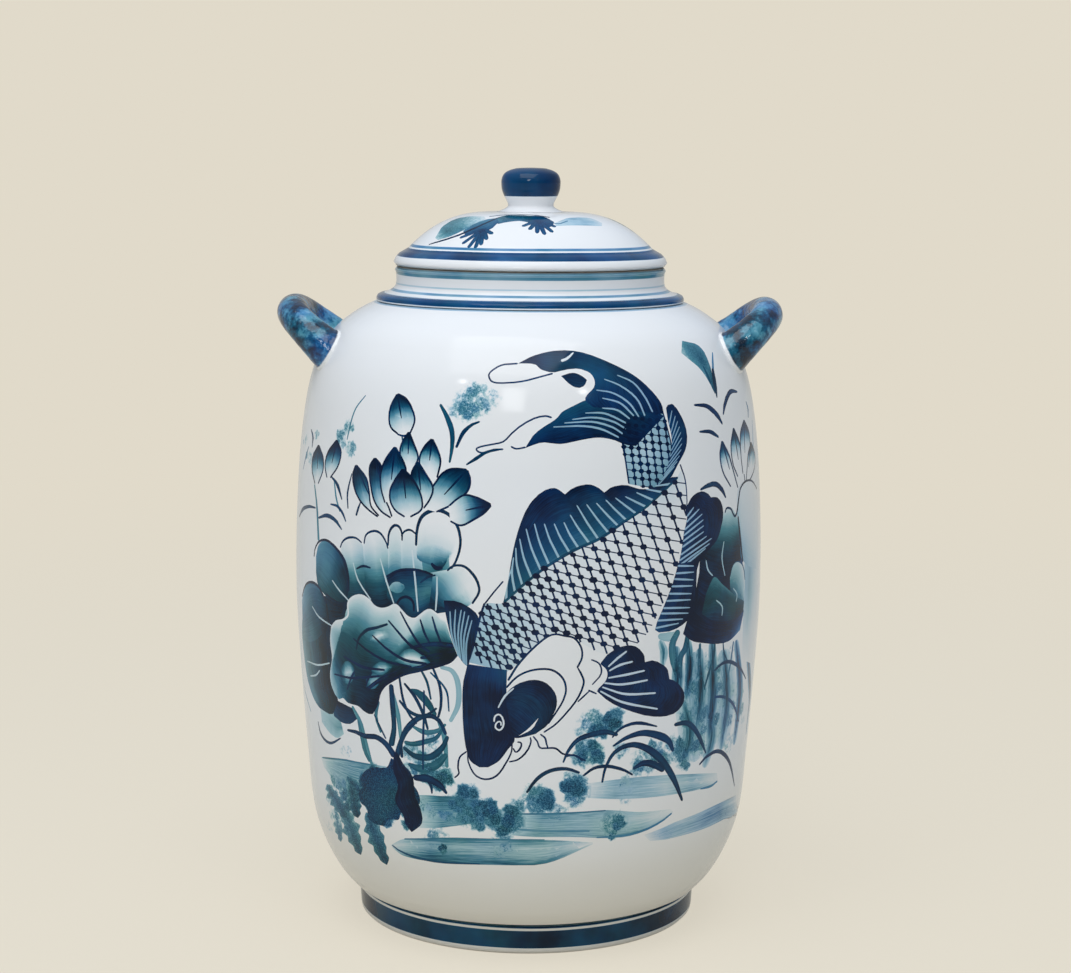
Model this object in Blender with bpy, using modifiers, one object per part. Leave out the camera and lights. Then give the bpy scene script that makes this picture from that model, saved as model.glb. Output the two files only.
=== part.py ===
"""Rice jar of glazed, painted stoneware with a lift-off lid.

The jar is built from its formed clay members: thrown body, foot ring, neck collar and two
loop handles. The lid is a dome with a locating ring below and a knob on top.
Metres, +Z up. The origin is on the table, under the middle of the foot.
"""

import bmesh
import bpy
from math import cos, hypot, pi, radians, sin
from mathutils import Vector
from mathutils.geometry import interpolate_bezier

# Joints between clay members, and how finely turned pieces are stepped
JOINT_GAP = 0.0003
TURN_STEPS = 48
KNOB_STEPS = 32
SPAN_STEPS = 2

# Foot ring: stands on the table, wraps the recess under the floor
FOOT_HEIGHT = 0.0185
FOOT_RADIUS = 0.1132
FOOT_WALL = 0.0140
FOOT_SPLAY = 0.0010
FOOT_EDGE = 0.0026
# How far the middle of the eased edge stands out, as a share of the ease
FOOT_EDGE_ROUND = 0.70

# Thrown body: floor, tall wall and shoulder
BODY_HEIGHT = 0.3937
BODY_RADIUS = 0.1560
BASE_OVERHANG = 0.0030
WALL = 0.0075
FLOOR = 0.0100
FLOOR_FILLET = 0.0050
FLOOR_EASE = 0.0100
# Each pair is a share of the body's height and of the swell from the base to the belly
LOWER_WALL_SHARES = ((0.034, 0.300), (0.084, 0.562), (0.140, 0.728), (0.235, 0.822), (0.380, 0.932),
                     (0.520, 1.0))
# Each pair is a share of the body's height and of the swell from the collar to the belly
UPPER_WALL_SHARES = ((0.680, 0.975), (0.800, 0.902), (0.890, 0.768), (0.950, 0.532), (0.982, 0.250))

# Neck collar: luted on the shoulder, carries the lid
COLLAR_HEIGHT = 0.0227
NECK_RADIUS = 0.0890
NECK_WALL = 0.0072
COLLAR_SPREAD = 0.0130
RIM_ROUND = 0.0015
# Each pair is a share of the collar's height and of its spread from the neck to its foot
COLLAR_SHARES = ((0.80, 0.0), (0.52, 0.0), (0.41, 0.06), (0.32, 0.24), (0.25, 0.50), (0.21, 0.80),
                 (0.16, 0.96), (0.10, 1.0), (0.0, 1.0))

# Lid dome: a rolled edge, a ledge and the dome above it
LID_OVERHANG = 0.0018
LID_EDGE_HEIGHT = 0.0105
LID_LEDGE = 0.0092
DOME_RISE = 0.0248
DOME_POWER = 2.6
LID_WALL = 0.0072
HOLLOW_POWER = 6.0
# Points on the dome and in its hollow, closer together where the curve turns most
DOME_SAMPLES = 8
DOME_CROWDING = 0.8
HOLLOW_CROWDING = 1.6
# Each pair is a share of the edge's height and of the ledge's width, from the seat upwards
LID_EDGE_SHARES = ((0.0, 0.12), (0.06, 0.03), (0.14, 0.0), (0.33, 0.05), (0.52, 0.17), (0.72, 0.37),
                   (0.90, 0.70))

# Locating ring: hangs from the lid inside the neck
LOCATING_CLEARANCE = 0.0035
LOCATING_WALL = 0.0060
LOCATING_DEPTH = 0.0140
LOCATING_ROUND = 0.0018

# Knob on the dome
KNOB_HEIGHT = 0.0286
KNOB_RADIUS = 0.0196
KNOB_UNDERCUT = 0.0046
KNOB_FLARE = 0.0075
# Each pair is a share of the knob's height and of the undercut's depth, from the top down
KNOB_HEAD_SHARES = ((0.94, 1.18), (0.88, 0.52), (0.81, 0.20), (0.72, 0.02), (0.62, 0.0), (0.50, 0.10),
                    (0.38, 0.36), (0.25, 0.70), (0.14, 1.0))
# Each pair is a share of the knob's height and of the flare at its foot
KNOB_FLARE_SHARES = ((0.08, 0.22), (0.035, 0.60), (0.0, 1.0))
KNOB_CROWN_SHARE = 0.50
KNOB_CROWN_HEIGHT_SHARE = 0.985

# Loop handles: a roll of clay bent into a loop, rooted at the front and back of each shoulder
HANDLE_HEIGHT_SHARE = 0.924
HANDLE_SPREAD = 0.0800
HANDLE_REACH = 0.0341
HANDLE_RISE_ANGLE = radians(41.5)
HANDLE_ROLL_RADIUS = 0.0105
HANDLE_ROOT_FLARE = 0.0030
HANDLE_BURIED = 0.0120
HANDLE_SQUARENESS = 2.5
HANDLE_POINTS = 15
HANDLE_BEVEL = 2

# Turning and mesh finish
FULL_TURN = 2.0 * pi
SHARP_ANGLE = radians(40.0)
WELD_DISTANCE = 0.00001

# Places that follow from the sizes above
BODY_BASE_Z = FOOT_HEIGHT + JOINT_GAP
BODY_TOP_Z = BODY_BASE_Z + BODY_HEIGHT
BASE_RADIUS = FOOT_RADIUS + BASE_OVERHANG
MOUTH_RADIUS = NECK_RADIUS - NECK_WALL
COLLAR_FOOT_RADIUS = NECK_RADIUS + COLLAR_SPREAD
COLLAR_BASE_Z = BODY_TOP_Z + JOINT_GAP
COLLAR_TOP_Z = COLLAR_BASE_Z + COLLAR_HEIGHT
LID_SEAT_Z = COLLAR_TOP_Z + JOINT_GAP
LID_RADIUS = NECK_RADIUS + LID_OVERHANG
LEDGE_Z = LID_SEAT_Z + LID_EDGE_HEIGHT
DOME_RADIUS = LID_RADIUS - LID_LEDGE
DOME_TOP_Z = LEDGE_Z + DOME_RISE
LOCATING_RADIUS = MOUTH_RADIUS - LOCATING_CLEARANCE
HOLLOW_RADIUS = LOCATING_RADIUS - LOCATING_WALL
KNOB_STEM_RADIUS = KNOB_RADIUS - KNOB_UNDERCUT
KNOB_FOOT_RADIUS = KNOB_STEM_RADIUS + KNOB_FLARE
KNOB_BASE_Z = DOME_TOP_Z + JOINT_GAP


def clear_scene():
    """Start from an empty scene."""
    for thing in list(bpy.data.objects):
        bpy.data.objects.remove(thing, do_unlink=True)


def make_collection(name):
    """A collection linked to the scene."""
    collection = bpy.data.collections.new(name)
    bpy.context.scene.collection.children.link(collection)
    return collection


def glaze(name, colour, roughness):
    """A fired surface: plain colour, no metal."""
    material = bpy.data.materials.new(name)
    material.use_nodes = True
    shader = material.node_tree.nodes["Principled BSDF"]
    shader.inputs["Base Color"].default_value = (*colour, 1.0)
    shader.inputs["Roughness"].default_value = roughness
    shader.inputs["Metallic"].default_value = 0.0
    return material


def through(points, steps):
    """Points along a smooth curve that passes through the given (radius, height) points."""
    knots = [Vector((r, z)) for r, z in points]
    tangents = []
    for i, knot in enumerate(knots):
        before = knots[max(i - 1, 0)]
        after = knots[min(i + 1, len(knots) - 1)]
        tangents.append((after - before).normalized())
    curve = [knots[0]]
    for i in range(len(knots) - 1):
        reach = (knots[i + 1] - knots[i]).length / 3.0
        handle_out = knots[i] + tangents[i] * reach
        handle_in = knots[i + 1] - tangents[i + 1] * reach
        curve += interpolate_bezier(knots[i], handle_out, handle_in, knots[i + 1], steps + 1)[1:]
    return [(point[0], point[1]) for point in curve]


def body_outline():
    """Outside of the thrown body from the foot joint up to the collar joint."""
    points = [(BASE_RADIUS, BODY_BASE_Z)]
    for height, swell in LOWER_WALL_SHARES:
        radius = BASE_RADIUS + swell * (BODY_RADIUS - BASE_RADIUS)
        points.append((radius, BODY_BASE_Z + height * BODY_HEIGHT))
    for height, swell in UPPER_WALL_SHARES:
        radius = COLLAR_FOOT_RADIUS + swell * (BODY_RADIUS - COLLAR_FOOT_RADIUS)
        points.append((radius, BODY_BASE_Z + height * BODY_HEIGHT))
    points.append((COLLAR_FOOT_RADIUS, BODY_TOP_Z))
    return through(points, SPAN_STEPS)


def offset(outline, distance):
    """The outline moved outwards by a distance, square to itself."""
    moved = []
    for i, (radius, height) in enumerate(outline):
        before = outline[max(i - 1, 0)]
        after = outline[min(i + 1, len(outline) - 1)]
        run = hypot(after[0] - before[0], after[1] - before[1])
        out_r = (after[1] - before[1]) / run
        out_z = -(after[0] - before[0]) / run
        moved.append((radius + distance * out_r, height + distance * out_z))
    return moved


def radius_at(outline, height):
    """Radius of an outline, listed upwards, at a height."""
    for (r0, z0), (r1, z1) in zip(outline, outline[1:]):
        if z0 <= height <= z1:
            return r0 + (r1 - r0) * (height - z0) / (z1 - z0)
    raise ValueError("height is outside the outline")


def turned(name, profile, collection, closed, steps, material=None):
    """Solid of revolution: the profile runs down its outer side, round the vertical axis."""
    mesh = bpy.data.meshes.new(name)
    edges = [(i, i + 1) for i in range(len(profile) - 1)]
    if closed:
        edges.append((len(profile) - 1, 0))
    mesh.from_pydata([(radius, 0.0, height) for radius, height in profile], edges, [])
    piece = bpy.data.objects.new(name, mesh)
    collection.objects.link(piece)
    screw = piece.modifiers.new("turn", "SCREW")
    screw.axis = "Z"
    screw.angle = FULL_TURN
    screw.steps = steps
    screw.render_steps = steps
    screw.use_merge_vertices = True
    screw.merge_threshold = WELD_DISTANCE
    screw.use_smooth_shade = True
    if material:
        mesh.materials.append(material)
    return piece


def foot_ring(collection, material):
    """Upright ring with a slightly splayed outside and an eased bottom edge."""
    inner = FOOT_RADIUS - FOOT_WALL
    profile = [
        (FOOT_RADIUS + FOOT_SPLAY, FOOT_HEIGHT),
        (FOOT_RADIUS, FOOT_EDGE),
        (FOOT_RADIUS - FOOT_EDGE * (1.0 - FOOT_EDGE_ROUND), FOOT_EDGE * (1.0 - FOOT_EDGE_ROUND)),
        (FOOT_RADIUS - FOOT_EDGE, 0.0),
        (inner + FOOT_EDGE, 0.0),
        (inner, FOOT_EDGE),
        (inner, FOOT_HEIGHT),
    ]
    return turned("foot_ring", profile, collection, True, TURN_STEPS, material)


def jar_body(collection, material, outline):
    """Thrown shell: flat floor, even wall, and a shoulder that closes in to the mouth."""
    floor_z = BODY_BASE_Z + FLOOR
    shelf_z = BODY_TOP_Z - WALL
    inside = [p for p in offset(outline, -WALL) if floor_z + FLOOR_FILLET < p[1] < shelf_z]
    profile = [(0.0, floor_z), (inside[0][0] - FLOOR_EASE, floor_z)]
    profile += inside
    profile.append((MOUTH_RADIUS, shelf_z))
    profile.append((MOUTH_RADIUS, BODY_TOP_Z))
    profile += reversed(outline)
    profile.append((0.0, BODY_BASE_Z))
    return turned("jar_body", profile, collection, False, TURN_STEPS, material)


def neck_collar(collection, material):
    """Short neck with a rounded rim above and a spreading foot on the shoulder."""
    profile = [
        (MOUTH_RADIUS + RIM_ROUND, COLLAR_TOP_Z),
        (NECK_RADIUS, COLLAR_TOP_Z),
        (NECK_RADIUS + RIM_ROUND / 2.0, COLLAR_TOP_Z - RIM_ROUND),
    ]
    for height, spread in COLLAR_SHARES:
        profile.append((NECK_RADIUS + spread * COLLAR_SPREAD, COLLAR_BASE_Z + height * COLLAR_HEIGHT))
    profile.append((MOUTH_RADIUS, COLLAR_BASE_Z))
    profile.append((MOUTH_RADIUS, COLLAR_TOP_Z - RIM_ROUND))
    return turned("neck_collar", profile, collection, True, TURN_STEPS, material)


def lid_dome(collection, material):
    """Dome with a flat pad for the knob, a ledge and a rolled edge, hollow underneath."""
    profile = [(0.0, DOME_TOP_Z)]
    for i in range(DOME_SAMPLES + 1):
        share = (i / DOME_SAMPLES) ** DOME_CROWDING
        radius = KNOB_FOOT_RADIUS + share * (DOME_RADIUS - KNOB_FOOT_RADIUS)
        profile.append((radius, LEDGE_Z + DOME_RISE * (1.0 - share ** DOME_POWER)))
    for height, width in reversed(LID_EDGE_SHARES):
        profile.append((LID_RADIUS - width * LID_LEDGE, LID_SEAT_Z + height * LID_EDGE_HEIGHT))
    hollow_rise = DOME_TOP_Z - LID_WALL - LID_SEAT_Z
    for i in range(DOME_SAMPLES + 1):
        share = 1.0 - (i / DOME_SAMPLES) ** HOLLOW_CROWDING
        profile.append((HOLLOW_RADIUS * share, LID_SEAT_Z + hollow_rise * (1.0 - share ** HOLLOW_POWER)))
    return turned("lid_dome", profile, collection, False, TURN_STEPS, material)


def lid_locating_ring(collection, material):
    """Ring under the lid that keeps it centred in the mouth."""
    top = LID_SEAT_Z - JOINT_GAP
    bottom = top - LOCATING_DEPTH
    profile = [
        (LOCATING_RADIUS, top),
        (LOCATING_RADIUS, bottom + LOCATING_ROUND),
        (LOCATING_RADIUS - LOCATING_ROUND, bottom),
        (HOLLOW_RADIUS + LOCATING_ROUND, bottom),
        (HOLLOW_RADIUS, bottom + LOCATING_ROUND),
        (HOLLOW_RADIUS, top),
    ]
    return turned("lid_locating_ring", profile, collection, True, TURN_STEPS, material)


def lid_knob(collection, material):
    """Mushroom knob: domed head, drawn-in stem and a foot that spreads on the dome."""
    profile = [
        (0.0, KNOB_BASE_Z + KNOB_HEIGHT),
        (KNOB_RADIUS * KNOB_CROWN_SHARE, KNOB_BASE_Z + KNOB_HEIGHT * KNOB_CROWN_HEIGHT_SHARE),
    ]
    for height, depth in KNOB_HEAD_SHARES:
        profile.append((KNOB_RADIUS - depth * KNOB_UNDERCUT, KNOB_BASE_Z + height * KNOB_HEIGHT))
    for height, flare in KNOB_FLARE_SHARES:
        profile.append((KNOB_STEM_RADIUS + flare * KNOB_FLARE, KNOB_BASE_Z + height * KNOB_HEIGHT))
    profile.append((0.0, KNOB_BASE_Z))
    return turned("lid_knob", profile, collection, False, KNOB_STEPS, material)


def handle_path(side, outline):
    """Centre line and roll radius of one loop handle, from root to root.

    The loop is a rounded rectangle in a plane that leans outwards; side is +1 or -1 on X.
    """
    root_z = BODY_BASE_Z + HANDLE_HEIGHT_SHARE * BODY_HEIGHT
    half_spread = HANDLE_SPREAD / 2.0
    root_x = (radius_at(outline, root_z) ** 2 - half_spread ** 2) ** 0.5
    stations = [(-HANDLE_BURIED, -half_spread)]
    for i in range(HANDLE_POINTS):
        turn = pi * i / (HANDLE_POINTS - 1)
        across = abs(cos(turn)) ** (2.0 / HANDLE_SQUARENESS) * half_spread
        out = sin(turn) ** (2.0 / HANDLE_SQUARENESS) * HANDLE_REACH
        stations.append((out, -across if cos(turn) > 0.0 else across))
    stations.append((-HANDLE_BURIED, half_spread))
    path = []
    for out, along in stations:
        nearness = 1.0 - max(out, 0.0) / HANDLE_REACH
        roll = HANDLE_ROLL_RADIUS + HANDLE_ROOT_FLARE * nearness ** 2
        x = root_x + out * cos(HANDLE_RISE_ANGLE)
        z = root_z + out * sin(HANDLE_RISE_ANGLE)
        path.append((Vector((side * x, along, z)), roll))
    return path


def handle_roll(name, path, collection):
    """The bent roll of clay as a closed mesh."""
    curve = bpy.data.curves.new(name, "CURVE")
    curve.dimensions = "3D"
    curve.bevel_depth = 1.0
    curve.bevel_resolution = HANDLE_BEVEL
    curve.use_fill_caps = True
    curve.render_resolution_u = 0
    spline = curve.splines.new("POLY")
    spline.points.add(len(path) - 1)
    for point, (place, roll) in zip(spline.points, path):
        point.co = (*place, 1.0)
        point.radius = roll
    guide = bpy.data.objects.new(name + "_guide", curve)
    collection.objects.link(guide)
    bpy.context.view_layer.update()
    depsgraph = bpy.context.evaluated_depsgraph_get()
    mesh = bpy.data.meshes.new_from_object(guide.evaluated_get(depsgraph))
    mesh.name = name
    shape = bmesh.new()
    shape.from_mesh(mesh)
    bmesh.ops.remove_doubles(shape, verts=shape.verts, dist=WELD_DISTANCE)
    bmesh.ops.recalc_face_normals(shape, faces=shape.faces)
    shape.to_mesh(mesh)
    shape.free()
    piece = bpy.data.objects.new(name, mesh)
    piece.matrix_world = guide.matrix_world.copy()
    collection.objects.link(piece)
    bpy.data.objects.remove(guide, do_unlink=True)
    return piece


def handle(name, side, outline, collection, material, cutter):
    """One loop handle, its roots trimmed to the shoulder."""
    piece = handle_roll(name, handle_path(side, outline), collection)
    piece.data.materials.clear()
    piece.data.materials.append(material)
    piece.data.shade_smooth()
    piece.data.set_sharp_from_angle(angle=SHARP_ANGLE)
    trim = piece.modifiers.new("trim", "BOOLEAN")
    trim.operation = "DIFFERENCE"
    trim.solver = "EXACT"
    trim.object = cutter
    return piece


def shoulder_cutter(outline, collection):
    """The body's outside, grown by the joint gap, as a solid that trims the handles."""
    grown = offset(outline, JOINT_GAP)
    profile = [(0.0, grown[-1][1])] + list(reversed(grown)) + [(0.0, grown[0][1])]
    cutter = turned("shoulder_cutter", profile, collection, False, TURN_STEPS)
    cutter.hide_render = True
    cutter.display_type = "WIRE"
    return cutter


def main():
    clear_scene()
    jar = make_collection("rice_jar")
    cutters = make_collection("cutters")
    white = glaze("white_glaze", (0.82, 0.84, 0.86), 0.12)
    cobalt = glaze("cobalt_glaze", (0.02, 0.07, 0.16), 0.12)
    bare = glaze("bare_stoneware", (0.72, 0.68, 0.60), 0.70)

    outline = body_outline()
    cutter = shoulder_cutter(outline, cutters)
    foot_ring(jar, cobalt)
    jar_body(jar, white, outline)
    neck_collar(jar, white)
    handle("left_handle", -1.0, outline, jar, cobalt, cutter)
    handle("right_handle", 1.0, outline, jar, cobalt, cutter)

    lid_lift = bpy.data.objects.new("lid_lift", None)
    lid_lift.location = (0.0, 0.0, LID_SEAT_Z)
    jar.objects.link(lid_lift)
    bpy.context.view_layer.update()
    for piece in (lid_dome(jar, white), lid_locating_ring(jar, bare), lid_knob(jar, cobalt)):
        piece.parent = lid_lift
        piece.matrix_parent_inverse = lid_lift.matrix_world.inverted()


main()
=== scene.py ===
"""Rice jar, finished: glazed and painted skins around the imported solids, and a plain stage.

Laid out as an add-on. Metres, +Z up, the painted front faces -Y.
"""

import random
from math import atan2, ceil, cos, floor, hypot, pi, radians, sin, sqrt

import bpy
from mathutils import Matrix, Vector
from mathutils.geometry import delaunay_2d_cdt, interpolate_bezier


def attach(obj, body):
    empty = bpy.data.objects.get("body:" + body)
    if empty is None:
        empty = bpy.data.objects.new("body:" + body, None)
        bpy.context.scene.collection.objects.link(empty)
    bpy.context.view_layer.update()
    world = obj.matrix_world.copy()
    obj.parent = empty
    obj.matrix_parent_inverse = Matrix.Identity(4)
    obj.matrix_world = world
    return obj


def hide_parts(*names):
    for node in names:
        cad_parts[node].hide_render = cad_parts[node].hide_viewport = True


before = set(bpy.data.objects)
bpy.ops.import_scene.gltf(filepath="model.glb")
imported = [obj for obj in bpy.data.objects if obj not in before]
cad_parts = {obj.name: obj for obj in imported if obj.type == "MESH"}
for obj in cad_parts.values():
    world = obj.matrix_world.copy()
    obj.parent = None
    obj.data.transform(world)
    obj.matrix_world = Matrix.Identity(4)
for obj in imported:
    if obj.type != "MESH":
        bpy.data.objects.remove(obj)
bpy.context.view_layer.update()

bl_info = {
    "name": "Rice Jar",
    "version": (1, 0, 0),
    "blender": (4, 5, 0),
    "location": "View3D > Sidebar > Rice Jar",
    "description": "Glazed and painted skins for a stoneware rice jar, with a plain stage",
    "category": "Add Mesh",
}

MM = 0.001

# The picture frame that the design is laid out in, and the eye that sees it
VIEW_WIDE = 1071.0
VIEW_HIGH = 973.0
VIEW_FOCAL = 2350.0
VIEW_UNIT = 0.664 * MM
SENSOR = 36.0
EYE = Vector((0.0044, -1.5645, 0.5096))
EYE_PITCH = radians(8.08)
EYE_ROLL = radians(0.4)

# Foot ring
FOOT_TOP = 0.0185
FOOT_RADIUS = 0.1132
FOOT_TOP_RADIUS = 0.1142
FOOT_WALL = 0.0140
FOOT_EDGE = 0.0026

# Thrown body. Each pair is a share of the height and of the swell towards the belly
BODY_BASE = 0.0188
BODY_HEIGHT = 0.3937
BODY_RADIUS = 0.1560
BASE_RADIUS = 0.1162
SHOULDER_RADIUS = 0.1020
MOUTH_RADIUS = 0.0818
WALL = 0.0075
FLOOR = 0.0288
FLOOR_CLEAR = 6.0 * MM
FLOOR_CORNER = 8.0 * MM
FLOOR_DISH = 1.0 * MM
UNDERSIDE_RADIUS = 0.0985
MOUTH_EASE = 1.5 * MM
LOWER_WALL_SHARES = ((0.034, 0.300), (0.084, 0.562), (0.140, 0.728), (0.235, 0.822), (0.380, 0.932),
                     (0.520, 1.0))
UPPER_WALL_SHARES = ((0.680, 0.975), (0.800, 0.902), (0.890, 0.768), (0.950, 0.532), (0.982, 0.250))

# Neck collar. Each pair is a share of the height and of the spread at its foot
COLLAR_BASE = 0.4128
COLLAR_HEIGHT = 0.0227
NECK_RADIUS = 0.0890
COLLAR_SPREAD = 0.0130
RIM_ROUND = 0.0015
COLLAR_SHARES = ((0.0, 1.0), (0.10, 1.0), (0.16, 0.96), (0.21, 0.80), (0.25, 0.50), (0.32, 0.24),
                 (0.41, 0.06), (0.52, 0.0), (0.80, 0.0), (0.93, 0.09))

# Lid dome. Each pair is a share of the edge's height and of the ledge's width
LID_SEAT = 0.4358
LID_RADIUS = 0.0908
LID_EDGE_HEIGHT = 0.0105
LID_LEDGE = 0.0092
DOME_RISE = 0.0248
DOME_POWER = 2.6
LID_WALL = 0.0072
HOLLOW_POWER = 6.0
HOLLOW_RADIUS = 0.0723
LID_EDGE_SHARES = ((0.0, 0.12), (0.06, 0.03), (0.14, 0.0), (0.33, 0.05), (0.52, 0.17), (0.72, 0.37),
                   (0.90, 0.70))

# Locating ring under the lid
LOCATING_RADIUS = 0.0783
LOCATING_DEPTH = 0.0140
LOCATING_ROUND = 0.0018

# Knob. Each pair is a share of the height and the radius there
KNOB_BASE = 0.4714
KNOB_HEIGHT = 0.0286
KNOB_SHARES = ((0.0, 0.0225), (0.035, 0.0195), (0.08, 0.0167), (0.14, 0.0150), (0.25, 0.0160),
               (0.38, 0.0180), (0.50, 0.0192), (0.62, 0.0196), (0.72, 0.0195), (0.81, 0.0187),
               (0.88, 0.0172), (0.94, 0.0142), (0.985, 0.0098), (1.0, 0.0))

# Loop handles: the name, side and seed of each, then the sizes of one
HANDLES = (("left_handle", -1.0, 31), ("right_handle", 1.0, 29))
HANDLE_ROOT_X = 0.1314
HANDLE_ROOT_Z = 0.3826
HANDLE_SPREAD = 0.0800
HANDLE_REACH = 0.0341
HANDLE_RISE = radians(41.5)
HANDLE_SQUARENESS = 2.5
HANDLE_ROLL = 0.0105
HANDLE_FLARE = 0.0030
HANDLE_BURIED = 0.0105
HANDLE_SUNK = 0.0035
HANDLE_SIDES = 40
HANDLE_STEPS = 40
HANDLE_BURIED_STEPS = 7
HANDLE_PATH_STEP = 1.4 * MM
LUTING = 1.3 * MM
LUTING_REACH = 3.2 * MM

# Thin places of the handle's roll, in millimetres: how deep, and how much of the last one each step keeps
HANDLE_THINNED = 1.2
HANDLE_KEPT = 0.8
HANDLE_FRESH = 0.2

# The joints that the potter closed with slip, and the easing of the edges
SEAM_CLOSED = 0.3 * MM
EDGE_EASE = 0.6 * MM
NECK_EASE = 0.5 * MM
RING_EASE = 0.4 * MM

# Floor: its reach, the ring in which it fades, the share near the jar that glows by itself, and how strongly
FLOOR_REACH = 40.0
FLOOR_NEAR = 0.4
FLOOR_FAR = 2.2
FLOOR_GLOW = 0.75
FLOOR_GLOW_STRENGTH = 1.07
FLOOR_ROUGHNESS = 0.9

# Room: the share of the pale floor and wall that the glaze mirrors, and where the light changes with direction
MIRRORED_SHARE = 0.5
ROOM_RISE = (-0.15, 0.95)
WALL_TOP = (0.10, 0.40)
WALL_FRONT = (-0.4, 0.2)

# Lamps: name, place, what it points at, width, height, watts
LAMPS = (
    ("overhead_lamp", (-0.25, -0.75, 1.90), (0.0, 0.0, 0.30), 1.5, 1.5, 16.8),
    ("front_lamp", (-0.35, -2.4, 1.35), (0.0, 0.0, 0.25), 0.5, 0.6, 6.8),
    ("left_bulb", (-1.1, -1.5, 1.5), (0.0, 0.0, 0.35), 0.07, 0.07, 1.0),
    ("right_bulb", (0.9, -1.7, 1.25), (0.0, 0.0, 0.35), 0.07, 0.07, 0.9),
)

# Fineness of the skins
TURN_COLUMNS = 192
SMALL_TURN_COLUMNS = 96
WALL_STEP = 5.0 * MM
INSIDE_STEP = 12.0 * MM
BAND_STEP = 2.0 * MM
LID_STEP = 3.5 * MM
RING_STEP = 2.5 * MM
KNOB_STEP = 1.2 * MM
COARSE_STEP = 8.0 * MM
WELD = 0.00001
OUTSIDE_SAMPLES = 800
SIGHT_ROUNDS = 16
CURVE_POINTS = 9
CENTRE_RADIUS = 0.4 * MM

# Brush and sponge, in the units of the picture frame
BODY_SEED = 11
LID_SEED = 23
LINE_GAIN = 0.22
LINE_STEP = 1.0
WASH_LINE_STEP = 1.5
WASH_STEP = 14.0
LONGEST_STEP = 22.0
WIDE_STROKE = 4.4
BLUNT_END = 0.15
SLACK = 0.16
RAY_STEP = 2.0
NET_STEP = 3.0
NET_ROUNDS = 6
SHORTEST_THREAD = 1.0
SMALLEST_PATCH = 0.000004
CLUMP_LOBES = 11
CLUMP_RINGS = ((0.06, 1.0), (0.62, 0.92), (1.0, 0.1))
DROP_LONG = 0.62
DROP_SHORT = 0.44
DROP_CORNERS = 6
DRAW_REACH = 100.0
SIDE_MARGIN = 0.5 * MM
END_MARGIN = 0.1 * MM
SPONGED = 0.1
CELL = 2.5
CUT_TOLERANCE = 0.00001
LAY, LIFT, OVER = range(3)

# Heights in millimetres where the glaze of the neck, the foot and the lid stops, and how soft edges are
NECK_BARE_ABOVE = 434.9
FOOT_BARE_BELOW = 0.5
LID_BARE_BELOW = 436.1
BARE_SOFTNESS = 0.25
BAND_SOFTNESS = 0.2
BAND_WAVER = 0.9

# How fine each unevenness of glaze and clay is, in ripples to the metre, and the range that soft noise fills
TONE_SCALE = 9.0
WAVER_SCALE = 13.0
LOAD_SCALE = 18.0
RIPPLE_SCALE = 28.0
MOTTLE_HUE_SCALE = 34.0
HUE_SCALE = 38.0
POOL_SCALE = 60.0
MOTTLE_SCALE = 62.0
LUMP_SCALE = 75.0
GLOSS_SCALE = 160.0
MOTTLE_GRAIN_SCALE = 300.0
SMALL_LUMP_SCALE = 330.0
CLAY_SCALE = 350.0
TORN_EDGE_SCALE = 420.0
PINHOLE_SCALE = 900.0
CLAY_GRAIN_SCALE = 1100.0
SPONGE_SCALE = 1300.0
BRUSH_HAIRS = (0.045, 1.1, 0.0)
NOISE_RANGE = (0.3, 0.7)

# Finish: roughness of the glazes and of the bare clay, and the glaze's shine
GLAZE_ROUGHNESS = (0.07, 0.12)
MOTTLE_ROUGHNESS = 0.09
CLAY_ROUGHNESS = 0.8
GLAZE_SHINE = 0.22

# Bands laid on the wheel: lowest and highest edge in millimetres, ink, teal
BODY_BANDS = ((411.4, 412.6, 0.22, 0.0),)
NECK_BANDS = ((430.2, 432.4, 0.42, 0.7), (432.4, 435.0, 0.34, 0.6), (423.6, 424.6, 0.16, 0.5),
              (419.4, 420.8, 0.34, 0.3), (413.6, 417.8, 0.72, 0.1))
FOOT_BANDS = ((17.6, 18.9, 0.82, 0.3), (4.1, 15.9, 0.84, 0.45))
LID_BANDS = ((448.2, 449.8, 0.42, 0.1), (442.2, 447.2, 0.76, 0.05))
KNOB_BANDS = ((481.3, 520.0, 0.84, 0.15),)

# Colour over the density of the cobalt, for a blue and for a greenish place
COBALT_STOPS = ((0.0, (1.0, 1.0, 1.0)), (0.20, (0.42, 0.63, 0.82)), (0.42, (0.065, 0.245, 0.480)),
                (0.66, (0.002, 0.078, 0.235)), (0.88, (0.000, 0.026, 0.105)), (1.0, (0.000, 0.009, 0.043)))
TEAL_STOPS = ((0.0, (1.0, 1.0, 1.0)), (0.20, (0.46, 0.69, 0.73)), (0.42, (0.090, 0.315, 0.375)),
              (0.66, (0.006, 0.105, 0.148)), (0.88, (0.000, 0.032, 0.052)), (1.0, (0.000, 0.009, 0.019)))

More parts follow.
